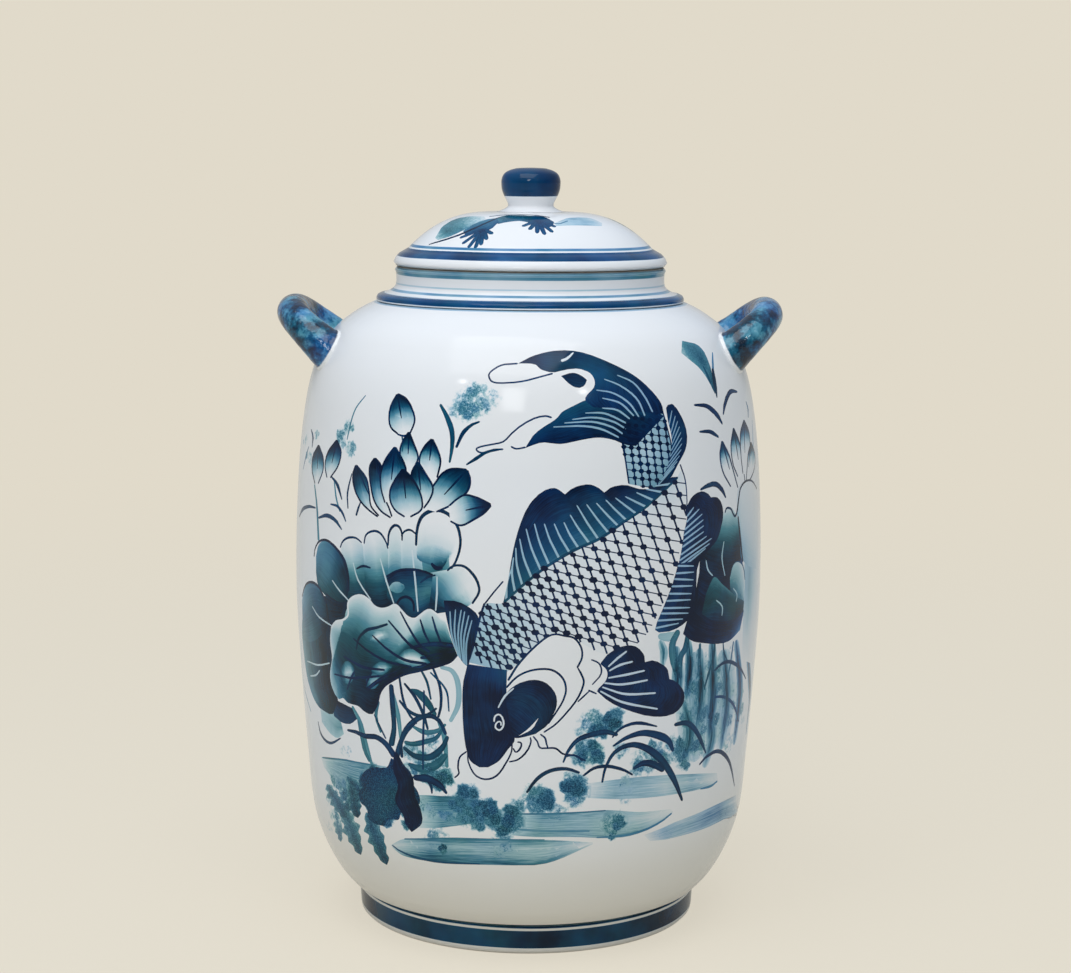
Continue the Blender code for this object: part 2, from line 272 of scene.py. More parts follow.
# Design of the wall. Points are in the picture frame; a point given twice is a corner.
TAIL_UPPER_RIM = ((518, 363.5), (534, 355.5), (558, 350.4), (582, 352.3), (610, 362.7), (634, 375.4),
                  (650, 389), (661, 403), (664, 414))
TAIL_UPPER_HEM = ((518, 363.5), (535, 364.3), (541, 369.5), (553, 372.5), (566, 369.6), (580, 369),
                  (592, 375), (594.5, 386), (585, 399), (593, 407))
TAIL_LOWER_RIM = ((664, 416), (640, 402), (610, 394), (586, 400), (572, 406.5), (562, 412), (556, 419),
                  (543, 427.3), (533.5, 435), (525.5, 447.5))
TAIL_LOWER_HEM = ((636, 446), (626, 444.8), (612, 439.5), (597.6, 437.6), (581.6, 440), (561, 444),
                  (545, 442.5), (538.6, 443.2), (531, 446), (525.5, 448))
TAIL_EYE = ((561, 376), (568, 373.4), (575, 373), (582, 376), (587, 380), (584, 386), (578, 388),
            (570, 384.5))
TAIL_RAYS = (
    ((604, 379), (621, 386), (637, 399), (645, 416)),
    ((617, 375), (633, 382.5), (645, 397), (653, 413)),
    ((596, 390), (613, 393), (629, 403), (639, 417)),
    ((602, 398), (620, 403), (634, 416)),
    ((602, 408), (617, 410), (630, 419)),
    ((585, 413), (605, 413.5), (628, 424)),
    ((572, 419.5), (594, 417.5), (613, 421.5), (626, 429)),
    ((564, 423), (592, 421.8), (612, 427), (623, 434)),
    ((553, 427), (582, 426), (601, 429), (619, 437.5)),
)
TAIL_TIP_LINES = (
    ((518, 363.5), (502, 365), (491, 371.5), (488.8, 376), (492.5, 381.8), (505, 383), (522.6, 381.3),
     (537, 377.8), (553, 373.4)),
    ((552, 417.7), (545, 416), (534, 418.5), (521, 425.7), (511.5, 433.6), (503.5, 441.6), (494, 444),
     (479.6, 447), (476.4, 449.6), (482, 452.8), (494, 449.6), (503.5, 449.3)),
    ((510.7, 446.4), (516.2, 448.8), (525.8, 447.2)),
)
STEM_LEFT = ((628, 419), (624, 431), (622.5, 443), (625, 457), (627, 470), (629, 484))
STEM_RIGHT = ((662, 409), (667, 428), (671.5, 448), (667, 470), (656, 489))
SMALL_FIN_RIM = ((667.7, 405), (672.5, 404), (680.5, 414.5), (686.8, 432), (686, 448), (679, 462.5),
                 (667.7, 483), (659, 490))
SMALL_FIN_ROOT = ((666, 408), (668, 421), (671.5, 437), (671, 452), (667, 468), (656, 489))
DORSAL_RIM = ((503.4, 602), (508.8, 577), (512.3, 554), (518.6, 529), (527.5, 507.5), (540, 493.2),
              (554.3, 487.9), (565, 494.3), (565, 494.3), (573, 488), (588, 484.3), (598, 487.5),
              (604.3, 492.5), (604.3, 492.5), (612, 487), (625.7, 485), (640, 489), (654, 487.5), (672, 477))
DORSAL_ROOT = ((503.4, 603), (524, 584.3), (547, 566.4), (574, 550.4), (601, 538), (624, 521.8),
               (645.4, 507.5), (663, 491.4), (678, 477))
DORSAL_BAND = ((512, 571), (514.5, 552), (521, 536), (531, 524.5), (547, 523.5), (565, 521.5),
               (576, 505.5), (592, 504), (610, 498.5), (625, 496.5), (640, 491), (655, 486))
BACK_LINE = ((677.5, 477), (663, 491.5), (645, 507.5), (624, 522), (601, 538), (574, 550.5), (547, 566.5),
             (524, 584.5), (503, 603), (484.6, 604.5), (478.4, 623.6), (474, 645), (467.5, 662))
BELLY_LINE = ((681, 470), (686.4, 487), (687.3, 506), (686, 522), (683, 538), (679, 554), (674, 574),
              (668, 594), (659.6, 609.5), (649, 631), (635, 645), (606, 654), (579, 641.5), (565, 634),
              (547, 637), (529, 650.5), (516.8, 664.6), (507, 672))
HEAD_BACK = ((467.5, 664), (463.2, 682), (462.3, 700), (463.2, 727), (466, 748.6), (470.4, 761),
             (479.3, 767.3))
HEAD_FRONT = ((507, 670), (506.5, 690), (507, 708), (511, 728), (515, 739.5), (507.9, 749.5), (499, 761),
              (488.2, 767.3))
CHEEK_TOP = ((499, 705), (506, 693), (518.6, 683.4), (533, 679.8), (545.4, 682.5), (554.3, 691.4),
             (557, 700.4), (555.2, 711), (547, 725.4), (536.4, 733.4))
CHEEK_LOW = ((499, 706), (500, 722), (507, 733), (515, 738), (522, 737.5), (536, 733.8))
CHEEK_SLIT = ((518.6, 736), (528, 729), (538.5, 718))
GILL_RIM = ((507.9, 680.7), (516.8, 666.4), (529.3, 652), (545.4, 638), (554.3, 634.3), (565, 636),
            (574, 638), (581, 647), (582, 657.5), (577.5, 667.3), (577.5, 667.3), (581, 673.6),
            (583.8, 682.5), (577.5, 698.6), (565, 714.6), (554.3, 725.4), (543.6, 732.5))
GILL_INNER = ((506, 688), (516.8, 677), (529.3, 671), (543.6, 669), (554.3, 671), (563.2, 679),
              (566, 689.6), (563.2, 700.4), (557, 711), (548, 724))
MOUTH_LINES = (
    ((467.7, 752), (468.6, 763), (475.7, 775.4), (486.4, 779.3), (497, 775.4), (506, 763), (511.4, 752),
     (512, 743)),
    ((508.8, 762), (518.6, 759.3), (527.5, 750.4), (531, 741.4), (530.2, 737)),
    ((513, 748), (516, 752), (520.5, 748), (521, 743), (517, 742)),
    ((532.9, 736), (537.3, 741.4), (540, 747.7), (547, 748), (556, 748.6), (563.2, 754), (575.7, 755.7),
     (583, 761)),
    ((540, 734), (545, 738), (546.5, 744), (548, 748)),
    ((466.8, 751.3), (459.6, 757.5), (458, 768), (458.8, 773.6), (454.3, 778)),
)
EYE_SPIRAL = ((494, 722), (495, 716.5), (499, 714.5), (502.5, 718), (503.5, 725), (500, 730),
              (495.5, 727.5), (497, 722.5), (500.5, 722), (501, 726))
SIDE_FIN_ROOT = ((600.5, 664), (607, 671), (606, 680), (598, 689))
SIDE_FIN_RIM = ((601, 662.5), (608, 654), (620.4, 646.8), (634.6, 646), (643.6, 654), (645, 662),
                (645, 662), (654.3, 660.5), (666.8, 668.2), (669.5, 679), (669.5, 679), (676, 681.5),
                (683.8, 691.4), (683, 704), (672, 714.6), (650.7, 716.4), (627.5, 710.2), (609.6, 702),
                (597, 691.4))
SIDE_FIN_RAYS = (
    ((608, 667), (619, 657), (627, 651)),
    ((609, 671), (620, 665), (633, 661.5)),
    ((608, 678), (625, 675), (645, 670.5)),
    ((604, 683), (622, 684.5), (648, 680)),
    ((602, 687), (625, 694), (656, 693)),
    ((600, 691), (622, 702), (658, 709)),
)
SIDE_FIN_LINES = (
    ((591, 659.5), (599.5, 664), (601, 674), (592, 685)),
    ((577.5, 702), (590, 690.5)),
    ((588, 690), (597, 694)),
)
FAR_FIN_RIM = ((685.5, 508.6), (691.6, 497.3), (700, 491.5), (707, 492.8), (711, 497.3), (711, 497.3),
               (717, 497.3), (721.4, 502.4), (723.3, 512.7), (722.2, 523), (717, 540), (708, 551),
               (696.5, 565))
FAR_FIN_ROOT = ((685.5, 509), (687, 516), (686, 524), (684, 532), (683, 540), (681.5, 550), (679, 562),
                (676, 574))
HIND_FIN_RIM = ((700, 560), (697, 570), (696.5, 584), (695.5, 600), (692.5, 614), (683, 624.5),
                (671, 631), (659, 632.5))
HIND_FIN_ROOT = ((678, 564), (675.5, 574), (671, 588), (666, 601), (661, 613), (657, 622), (655, 630))
LEFT_FIN_RIM = ((443.6, 600.4), (458, 601.5), (474, 611), (478.4, 618.2), (475.7, 631), (472, 648),
                (469, 664))
LEFT_FIN_ROOT = ((443.6, 600.4), (445.4, 613), (450.7, 636), (458, 655.7), (464, 664), (468, 667))
SCALE_ROWS = range(-2, 21)
SCALE_COLUMNS = range(-3, 24)
SCALE_CORNER = (441.0, 469.0)
STEM_SCALE_CORNER = (612.0, 408.0)

# Lotus in flower on the left: the two edges of each petal, both from its tip
PETALS = (
    (((409, 432), (403, 441), (400, 451), (402, 466)), ((409, 432), (415, 447), (418, 458), (413, 470))),
    (((432, 439), (425, 446), (420, 456), (419, 470)), ((432, 439), (437, 449), (440.5, 461), (437, 478))),
    (((467, 470), (452, 469), (443, 473), (436, 482), (429, 493), (423.5, 508.5)),
     ((467, 470), (470, 480), (468, 490), (459, 500), (449.5, 506), (436, 512))),
    (((491, 505), (477.5, 498), (465, 495), (457, 499), (449, 506)),
     ((491, 505), (484, 513), (473.5, 519.5), (461, 525.5), (450, 521))),
    (((418, 462), (412, 472), (411, 486), (414, 498), (421, 508)),
     ((418, 462), (427.6, 477), (433, 488), (430, 499), (423.5, 508.5))),
    (((356, 465), (353, 474), (354, 486.5), (359, 499), (367, 508.5), (378, 517)),
     ((356, 465), (366, 478), (369, 491), (371, 506), (379, 516))),
    (((375, 458), (370, 466), (370, 480), (374, 500), (381, 511), (391, 518)),
     ((375, 458), (381, 466), (382, 480), (384, 496), (389, 508), (392, 517))),
    (((395, 447), (386.5, 458), (381, 471.5), (381, 488), (385, 503)),
     ((395, 447), (404, 463), (406, 473), (401, 484), (393, 498))),
    (((403, 469), (395, 480), (390, 491), (390.6, 502), (396, 511), (405, 517)),
     ((403, 469), (411, 477), (418, 488), (422, 500), (421, 510), (410, 517))),
)
BUDS = (
    (((397.4, 394), (391, 406), (389, 418), (391, 427.6), (398, 434)),
     ((397.4, 394), (406, 399), (412.5, 410), (414.6, 421), (410, 433.5))),
    (((337, 440), (328, 452), (325, 465), (327, 478)), ((337, 440), (341, 452), (338, 466), (330, 478))),
    (((318.6, 445), (313, 456), (312, 470), (315, 484)), ((318.6, 445), (323, 457), (323, 470), (318, 484))),
)
LEFT_BLADES = (
    (((440, 404), (447, 417), (452, 432), (452, 447), (449.5, 463)), (2, 5, 4, 1.5), 0.8, 0.7),
    (((456, 448), (463, 433), (471.5, 425), (480, 421.5)), (2, 3.6, 1.2), 0.85, 0.3),
    (((500, 449.5), (487, 452), (477, 458), (466, 465)), (1.2, 2.2, 3, 1), 0.85, 0.3),
    (((299, 517), (303, 509), (309, 506.5), (316, 508)), (1.5, 4, 3, 1), 0.8, 0.2),
    (((318, 518), (327, 515.5), (335.5, 520.5), (342, 530)), (1.5, 4, 3.5, 1), 0.8, 0.3),
    (((330, 504), (337, 506), (342.5, 513), (346, 522)), (1, 2.6, 2.6, 1), 0.8, 0.2),
    (((348, 509), (347.5, 493), (352, 473)), (1.2, 2.2, 0.8), 0.85, 0.2),
    (((356, 516), (358, 509), (361, 501)), (2, 2.2, 1), 0.85, 0.2),
    (((330, 475), (337, 484), (342, 500)), (1, 4, 1), 0.85, 0.4),
    (((366, 395), (356, 408), (351, 422), (347, 440)), (0.6, 1.2, 1.6, 1), 0.5, 0.6),
    (((314.5, 484), (317, 507), (318.6, 541)), (2, 3.6, 4), 0.5, 0.8),
    (((311, 429), (313, 437), (312, 448)), (1, 4, 1), 0.8, 0.2),
    (((334, 478), (336, 497), (340, 512)), (1.5, 2.2, 1.5), 0.45, 0.8),
    (((303, 470), (306, 456), (309, 446)), (1, 2.4, 1), 0.6, 0.3),
)
LEAF_FOLDS = (
    (((336, 574), (360, 570), (385, 570), (410, 572), (430, 575), (446, 580), (462, 588), (470, 600)),
     ((334, 608), (355, 606), (372, 606), (390, 608), (408, 616), (424, 616), (440, 613), (466, 610)),
     ((0.9, 0.97), (0.85, 0.97), (0.8, 0.97), (0.7, 0.9)), ((0.8, 0.4),)),
    (((417, 552), (428, 560), (440, 562), (449, 556)), ((416, 578), (428, 580), (440, 580), (450, 572)),
     ((0.3, 0.6), (0.45, 0.6), (0.6, 0.7), (0.3, 0.4)), ((0.9,),)),
    (((314, 596), (322, 606), (328, 618), (331, 630)), ((334, 596), (338, 604), (340, 612), (334, 628)),
     ((0.9, 0.9), (0.97, 0.97)), ((0.4,),)),
    (((305, 600), (302, 625), (304, 655), (309, 685), (318, 706), (329, 714)),
     ((328, 604), (332, 630), (332, 660), (333, 686), (338, 700), (333, 714)),
     ((0.5, 0.75, 0.95, 0.95), (0.45, 0.7, 0.95, 0.9), (0.4, 0.7, 0.97, 0.9), (0.4, 0.7, 0.92, 0.95),
      (0.4, 0.8, 0.97, 0.97), (0.9, 0.97, 1.0, 1.0)), ((0.6, 0.95, 0.6),)),
    (((302, 600), (305.6, 585.6), (312, 582), (319, 586.7), (325, 600)),
     ((303, 640), (309, 642), (316, 640), (322, 634), (329, 622)),
     ((0.3, 0.5, 0.5), (0.45, 0.65, 0.65), (0.6, 0.75, 0.92), (0.9, 0.95, 0.95)), ((0.5, 0.8),)),
    (((341, 549), (342, 542), (348, 537.8), (356.7, 538), (363, 545)),
     ((341, 602), (349, 606), (358, 608), (366, 605), (373, 600)),
     ((0.05, 0.2, 0.6, 0.9, 0.97), (0.0, 0.08, 0.42, 0.8, 0.97), (0.05, 0.3, 0.6, 0.95, 0.97)), ((0.7, 0.9, 0.6),)),
    (((363, 547), (365.6, 535.6), (373, 531.6), (381, 533), (387, 544)),
     ((366, 601), (374, 609), (383, 610), (391, 606), (397, 603)),
     ((0.05, 0.2, 0.65, 0.95, 0.97), (0.0, 0.06, 0.4, 0.85, 1.0), (0.04, 0.25, 0.55, 0.9, 1.0)), ((0.7, 0.9, 0.5),)),
    (((388, 546), (389, 532), (394, 525.6), (399, 526.7), (402, 536)),
     ((388, 601), (393, 606), (398, 610), (402, 612), (408, 614)),
     ((0.05, 0.15, 0.5, 0.85, 1.0), (0.0, 0.06, 0.4, 0.75, 1.0)), ((0.7, 0.9, 0.5),)),
    (((401, 540), (403, 532), (409, 530), (415, 532), (419, 540)),
     ((402, 606), (408, 613), (414, 617), (420, 615), (428, 610)),
     ((0.03, 0.12, 0.45, 0.75, 1.0), (0.0, 0.1, 0.4, 0.7, 1.0)), ((0.7, 0.9, 0.5),)),
    (((416, 546), (417, 529), (421, 518), (430, 511), (443, 511), (453, 518), (460, 531), (460, 547), (455.6, 560),
      (450, 570)),
     ((417, 558), (420, 561), (425, 563), (431, 565), (437, 568), (442, 568), (446, 563), (448, 557), (449, 554),
      (449, 560)),
     ((0.02, 0.1, 0.3, 0.7), (0.0, 0.04, 0.2, 0.62), (0.0, 0.0, 0.12, 0.6), (0.0, 0.0, 0.1, 0.95),
      (0.0, 0.0, 0.1, 0.95), (0.0, 0.0, 0.02, 0.4), (0.0, 0.0, 0.0, 0.0)), ((0.9, 0.7),)),
    (((446, 570), (454, 566.7), (465.6, 566.7), (474, 575.6), (479, 589), (476.7, 600), (470, 605)),
     ((423, 574), (424, 582), (428, 592), (434, 601), (442, 607), (452, 609), (464, 608)),
     ((0.1, 0.12, 0.3, 0.5), (0.0, 0.15, 0.4, 0.7), (0.0, 0.08, 0.4, 0.8), (0.0, 0.03, 0.3, 0.85),
      (0.0, 0.06, 0.4, 0.9), (0.04, 0.3, 0.7, 0.97)), ((0.9, 0.8, 0.5),)),
    (((387, 578), (397, 571.6), (406, 570), (415, 569.5), (425, 570.5), (433, 574)),
     ((387, 600), (394, 607), (402, 611), (411, 618), (420, 616), (429, 608)),
     ((1.0, 0.85, 0.7, 0.97), (0.97, 0.75, 0.6, 1.0), (0.97, 0.7, 0.65, 1.0), (0.95, 0.6, 0.5, 1.0),
      (0.9, 0.45, 0.6, 0.97)), ((0.4, 0.9, 0.5),)),
    (((389, 587), (393, 582.5), (399, 582), (404, 585)), ((391, 591), (396, 593), (401, 592.5), (405, 588)),
     ((0.3, 0.5), (0.25, 0.45), (0.35, 0.6)), ((0.9,),)),
    (((316, 556), (318.9, 544.4), (325.6, 540), (334.4, 544.4), (343.3, 557.8), (348.9, 577.8), (347, 600)),
     ((316, 572), (318, 585), (324, 594), (331, 601), (337, 605), (342, 606), (346, 604)),
     ((0.35, 0.45, 0.6), (0.4, 0.5, 0.65), (0.7, 0.55, 0.7), (0.97, 0.7, 0.8), (1.0, 0.88, 0.85), (1.0, 0.97, 0.95)),
     ((0.5, 0.9),)),
    (((325, 592), (332, 598), (340, 602), (350, 602)), ((332, 624), (337, 621), (343, 619), (348, 613)),
     ((0.9, 0.85), (1.0, 0.95), (1.0, 1.0)), ((0.4, 0.7),)),
)
LEAF_LOBES = (
    (((416, 546), (417, 530), (421, 518), (428, 512), (437, 510), (448, 514), (456, 523.5), (460, 535.5),
      (460, 547.6), (456, 561), (451, 569)), (2, 3.4, 2.4, 1.6), 0.92, 0.3),
    (((447, 571), (453, 566), (463, 566), (471, 572), (477.5, 582), (479, 592), (472, 604)), (1.4, 2.4, 1.6), 0.92,
     0.3),
    (((314, 557), (315, 549), (319, 541.6), (326, 540), (333, 545), (340, 553), (345, 562), (348, 577),
      (348, 592)), (1.4, 2.2, 3.2, 4.4), 0.97, 0.2),
    (((340, 548), (343, 541), (349, 537.5), (356, 538), (362, 543)), (1.2, 2, 1), 0.9, 0.3),
    (((364, 544), (366, 535), (373, 531), (380, 533), (386, 542), (388, 549)), (1.2, 2, 1), 0.9, 0.3),
    (((388, 546), (389, 533), (394, 525.6), (399, 526.7), (402, 534), (402, 541)), (1.4, 2.4, 1.2), 0.92, 0.3),
    (((401, 536), (405, 531), (410.5, 530), (417, 535)), (1.2, 1.8, 1), 0.9, 0.3),
    (((302, 597), (305, 586), (310, 582), (317, 585), (323, 595), (327, 606)), (1.4, 2.4, 1.6), 0.92, 0.3),
    (((386, 577), (397, 571), (408, 569.5), (420, 570.5), (433, 575)), (1.6, 2.6, 1.4), 1.0, 0.2),
    (((356, 569), (363, 566), (371, 568)), (1.2, 2.2, 1.2), 0.95, 0.3),
    (((396, 606), (400, 599), (407, 597), (413, 602), (414, 612)), (1.6, 2.6, 1.6), 1.0, 0.2),
    (((420, 583), (428, 577), (436, 575)), (1, 2, 1), 0.9, 0.3),
    (((431, 563), (436, 568), (443, 568)), (2, 4, 2), 1.0, 0.1),
)
LEAF_VEINS = (
    ((353, 562), (358, 580), (371, 600)), ((380, 558), (386, 580), (394, 604)),
    ((412, 549), (415, 578), (418, 612)), ((437, 576), (437, 592), (435.6, 611)),
    ((332, 580), (339, 590), (349, 601)), ((312, 606), (319, 617), (332, 626)),
    ((307, 661), (318, 665), (330, 663)), ((310, 676), (316, 675), (320, 670)),
)
CURLED_LEAF_TOP = ((331, 628), (336, 621.5), (343, 620), (348, 615), (348, 603), (353, 597), (361.5, 595.5),
                   (369, 600), (374, 606), (381, 609), (388, 608), (395, 605), (400, 609), (407.5, 617), (415, 619),
                   (422, 614), (429, 610), (435, 613), (441.5, 619), (446, 621.5), (451, 636), (458, 654))
CURLED_LEAF_HEM = ((331, 628), (330, 641), (332, 658), (330, 674), (332, 687), (338.5, 699), (343, 698),
                   (348, 703), (358, 706), (365, 712), (372, 714), (377, 705), (380, 693), (384.5, 686), (393, 680),
                   (405, 674), (423, 670), (439, 666), (451, 661.5), (458, 654))
CURLED_TONES = (
    (0.05, 0.06, 0.08, 0.08, 0.05), (0.03, 0.14, 0.34, 0.3, 0.06), (0.03, 0.34, 0.7, 0.6, 0.06),
    (0.04, 0.5, 0.88, 0.88, 0.2), (0.04, 0.45, 0.85, 0.97, 0.97), (0.04, 0.3, 0.75, 0.95, 1.0),
    (0.04, 0.2, 0.7, 0.92, 1.0), (0.06, 0.3, 0.75, 0.95, 1.0), (0.08, 0.45, 0.9, 0.97, 1.0),
    (0.25, 0.8, 1.0, 1.0, 1.0), (0.9, 1.0, 1.0, 1.0, 1.0))
CURLED_LIGHTS = (
    (((368, 638), (375, 630), (387, 629)), ((370, 643), (380, 643), (390, 637)), 0.02),
    (((394, 660), (407, 649), (419, 651), (430, 662)), ((395, 661), (408, 667), (420, 668), (430, 664)), 0.02),
    (((371, 668), (380, 662), (392, 665)), ((372, 674), (382, 675), (392, 668)), 0.2),
    (((341, 667), (347, 661), (354, 667)), ((342, 681), (349, 684), (355, 676)), 0.12),
    (((366, 678), (374, 673), (381, 677)), ((366, 687), (374, 689), (381, 681)), 0.25),
)
CURLED_VEINS = (
    (((388, 620), (398, 632), (410, 645), (424, 655)), (1.2, 2.4, 2.8), 0.97, 0.1),
    (((400, 611), (409, 628), (420, 645), (430, 652)), (1.2, 2.2, 2.4), 0.97, 0.1),
    (((420, 619), (424.5, 633), (430, 644)), (1.2, 2.2, 1.6), 0.95, 0.1),
    (((432, 616), (436, 630), (441, 643)), (1.2, 2.2, 1.6), 0.95, 0.1),
    (((372, 635), (387, 649), (405, 660), (427, 664)), (1.2, 2.6, 2.4), 0.97, 0.1),
    (((353, 638), (367.5, 650.6), (387, 661.5), (412, 667)), (1.2, 2.4, 2), 0.97, 0.1),
    (((343, 656), (363, 667), (385, 670)), (1.2, 2.6, 1.8), 0.95, 0.1),
    (((334, 674), (352, 678), (380, 676)), (1.2, 2.4, 1.6), 0.95, 0.1),
    (((356, 650), (359, 638), (367, 630), (377, 627.5), (388, 624)), (1.6, 3, 1.8), 0.9, 0.5),
    (((410, 648), (424, 645), (438, 644), (454, 646)), (2, 4, 5), 1.0, 0.0),
    (((420, 658), (436, 656), (456, 653)), (2, 5, 4), 1.0, 0.0),
    (((366, 690), (380, 680), (396, 674), (415, 669), (436, 664)), (3, 5, 4), 1.0, 0.1),
    (((347, 690), (352, 676), (360, 664)), (1.2, 2.4, 1.4), 0.9, 0.2),
    (((362, 700), (366, 684), (372, 672)), (1.2, 2.4, 1.4), 0.9, 0.2),
)
BACK_FOLD = (
    ((428, 604), (434, 591), (446, 583), (460, 583), (472, 592), (479, 608), (479, 626), (471, 644), (458, 657),
     (446, 666)),
    ((426, 614), (430, 620), (434, 626), (438, 632), (440, 638), (442, 644), (443, 650), (444, 656), (445, 661),
     (446, 666)),
    ((440, 626), (452, 614), (462, 598)), ((444, 638), (458, 630), (471, 617)), ((446, 650), (458, 645), (468, 636)),
)
LEFT_STEMS = (
    (((391, 684), (393, 711), (394, 729), (391, 746)), (5, 6, 5, 7), 0.9, 0.5),
    (((399, 675), (403, 699), (409, 714), (417, 724)), (2, 2.6, 2), 0.85, 0.4),
    (((421, 670), (427, 682), (431, 700)), (2, 2.4, 1.4), 0.8, 0.6),
    (((433, 668), (440, 687), (441, 705), (438, 718)), (2, 2.8, 2), 0.85, 0.4),
    (((440, 667), (452, 671), (458, 684), (458, 705), (450, 722)), (3, 5, 5, 3), 0.3, 0.9),
    (((410, 690), (418, 693), (427, 702), (436, 716)), (3, 8, 7, 3), 0.75, 0.8),
    (((374, 714), (380, 727), (386, 739)), (1.2, 2, 1.4), 0.8, 0.3),
    (((347, 730), (356, 732), (365, 736), (376, 737), (386, 744), (395, 757)), (2, 4.5, 5, 6, 7), 0.95, 0.2),
    (((358, 720), (361.5, 735), (365, 751), (370, 762)), (2, 5, 5, 3), 0.6, 0.8),
    (((416, 722), (405, 733), (399, 747.5), (396, 760)), (2, 4.5, 5, 6), 0.9, 0.3),
    (((378, 700), (376, 716), (381, 733)), (5, 3.5, 2), 0.6, 0.8),
    (((424, 690), (424, 712), (423, 742), (423, 770)), (1.4, 2, 2, 1.4), 0.85, 0.2),
    (((438, 718), (444, 735), (446, 752), (447, 768)), (4, 5, 4, 3), 0.5, 0.9),
    (((430, 672), (446, 690), (449, 712)), (1.2, 1.8, 1), 0.7, 0.5),
    (((404, 742), (413, 744), (424, 742), (436, 738), (443, 728)), (3, 5, 4, 2), 0.7, 0.8),
    (((402, 758), (401, 742), (407, 728), (419, 718), (431, 716), (440, 722), (446, 735)), (3, 4.5, 5, 4, 3),
     0.93, 0.3),
    (((403, 747), (415, 756), (430, 757), (442, 748), (448, 736)), (3, 6, 6, 3), 0.85, 0.6),
    (((408, 764), (422, 769), (436, 765), (447, 754)), (3, 8, 8, 4), 0.7, 0.8),
    (((412, 726), (424, 732), (437, 731), (446, 724)), (2, 5, 4, 2), 0.6, 0.9),
    (((399, 700), (410, 712), (424, 716), (437, 708)), (2, 3.4, 3, 1.6), 0.85, 0.5),
    (((404, 683), (415, 697), (424, 716), (428, 730)), (2, 3.4, 3, 2), 0.88, 0.4),
    (((352, 706), (360, 722), (366, 745), (372, 765)), (3, 6, 6, 3), 0.5, 0.9),
    (((392, 690), (398, 715), (401, 740)), (3, 5, 3), 0.45, 0.9),
    (((318, 721), (321.5, 735), (330, 743), (341, 738)), (1.2, 3, 2.6, 1), 0.85, 0.2),
    (((317, 614), (324, 621), (333, 626)), (1, 1.8, 1), 0.8, 0.3),
    (((308, 661.5), (318, 664), (330, 664)), (1, 1.8, 1), 0.75, 0.3),
    (((304, 640), (312, 646), (330, 646)), (0.8, 1.4, 0.8), 0.6, 0.3),
    (((301, 640), (302, 665), (305, 690), (311, 712)), (2, 3, 3, 1.4), 0.35, 0.4),
    (((413, 777.5), (429, 779), (440.8, 786), (447, 794)), (5, 7.5, 6.5, 2), 0.97, 0.2),
    (((427, 780), (431, 786), (432, 794)), (2.6, 3, 1), 0.9, 0.3),
)
ROOTS = (
    ((391, 758), (386, 768), (376, 767), (366, 770), (361, 778), (363, 786), (359, 793), (361, 803), (367, 808),
     (368, 818), (375, 824), (383, 826)),
    ((391, 758), (402, 764), (411, 773), (413, 784), (418, 792), (420, 803), (414, 808), (409, 812), (402, 812),
     (398, 820), (390, 818), (384, 826)),
)
ROOT_TRUNK = (
    ((394, 752), (393, 770), (398, 785), (395, 800), (403, 815), (406, 825), (411.5, 832)),
    ((397, 752), (404, 765), (413, 777), (414.5, 794), (420.3, 808), (422, 823), (412, 832)),
)
SIDE_LEAVES = ((341, 802, 361, 855, 9.5, 0.68), (366, 812, 387, 865, 9.5, 0.8), (335, 806, 341, 842, 5, 0.5),
               (327, 784, 346, 818, 8, 0.7), (350, 782, 358, 818, 8, 0.85), (347, 776, 366, 800, 8, 0.85))
WATER = (
    (((321, 757), (340, 759), (360, 762), (377, 765), (396, 768)),
     ((324, 767), (333, 779), (346, 791), (362, 797), (382, 800)), ((0.34, 0.3), (0.4, 0.42), (0.36, 0.4)), 0.8),
    (((412, 795), (426, 795), (440, 796), (458, 797), (486, 806), (516, 812)),
     ((418, 828), (436, 828), (455, 826), (480, 823), (498, 826), (516, 832)),
     ((0.6, 0.5, 0.35, 0.42), (0.55, 0.45, 0.4, 0.45), (0.42, 0.36, 0.34, 0.4)), 0.85),
    (((391, 845), (404, 839), (450, 838.5), (500, 839.5), (550, 840), (593, 842.5)),
     ((392, 847), (404, 856), (440, 862.5), (500, 865), (546, 863.5), (593, 844)),
     ((0.55, 0.3, 0.5, 0.75), (0.5, 0.24, 0.3, 0.42, 0.62), (0.5, 0.26, 0.3, 0.62), (0.42, 0.2, 0.25, 0.55)), 0.7),
    (((512, 813.5), (550, 813.5), (583, 812), (608, 810), (640, 812), (671, 809)),
     ((500, 834), (533, 837), (575, 837), (600, 838), (624, 836), (645, 831), (663, 821), (673, 812)),
     ((0.42, 0.34, 0.3, 0.4), (0.36, 0.28, 0.28, 0.34), (0.3, 0.22, 0.26, 0.32), (0.2, 0.14, 0.2, 0.42)), 0.75),
    (((590, 783), (620, 779), (650, 776), (690, 774), (717, 773)),
     ((588, 798), (616, 799), (655, 797), (699, 789.5), (718, 782)),
     ((0.3, 0.26, 0.34), (0.3, 0.22, 0.26), (0.22, 0.14, 0.2), (0.3, 0.16, 0.34)), 0.6),
    (((644, 835), (660, 829), (674, 822.6), (699, 812.7), (736, 795)),
     ((650, 841), (662, 840), (674, 837.6), (707, 827.6), (737, 812)),
     ((0.2, 0.24, 0.22), (0.16, 0.26, 0.2), (0.2, 0.36, 0.24), (0.3, 0.42, 0.3)), 0.1),
)
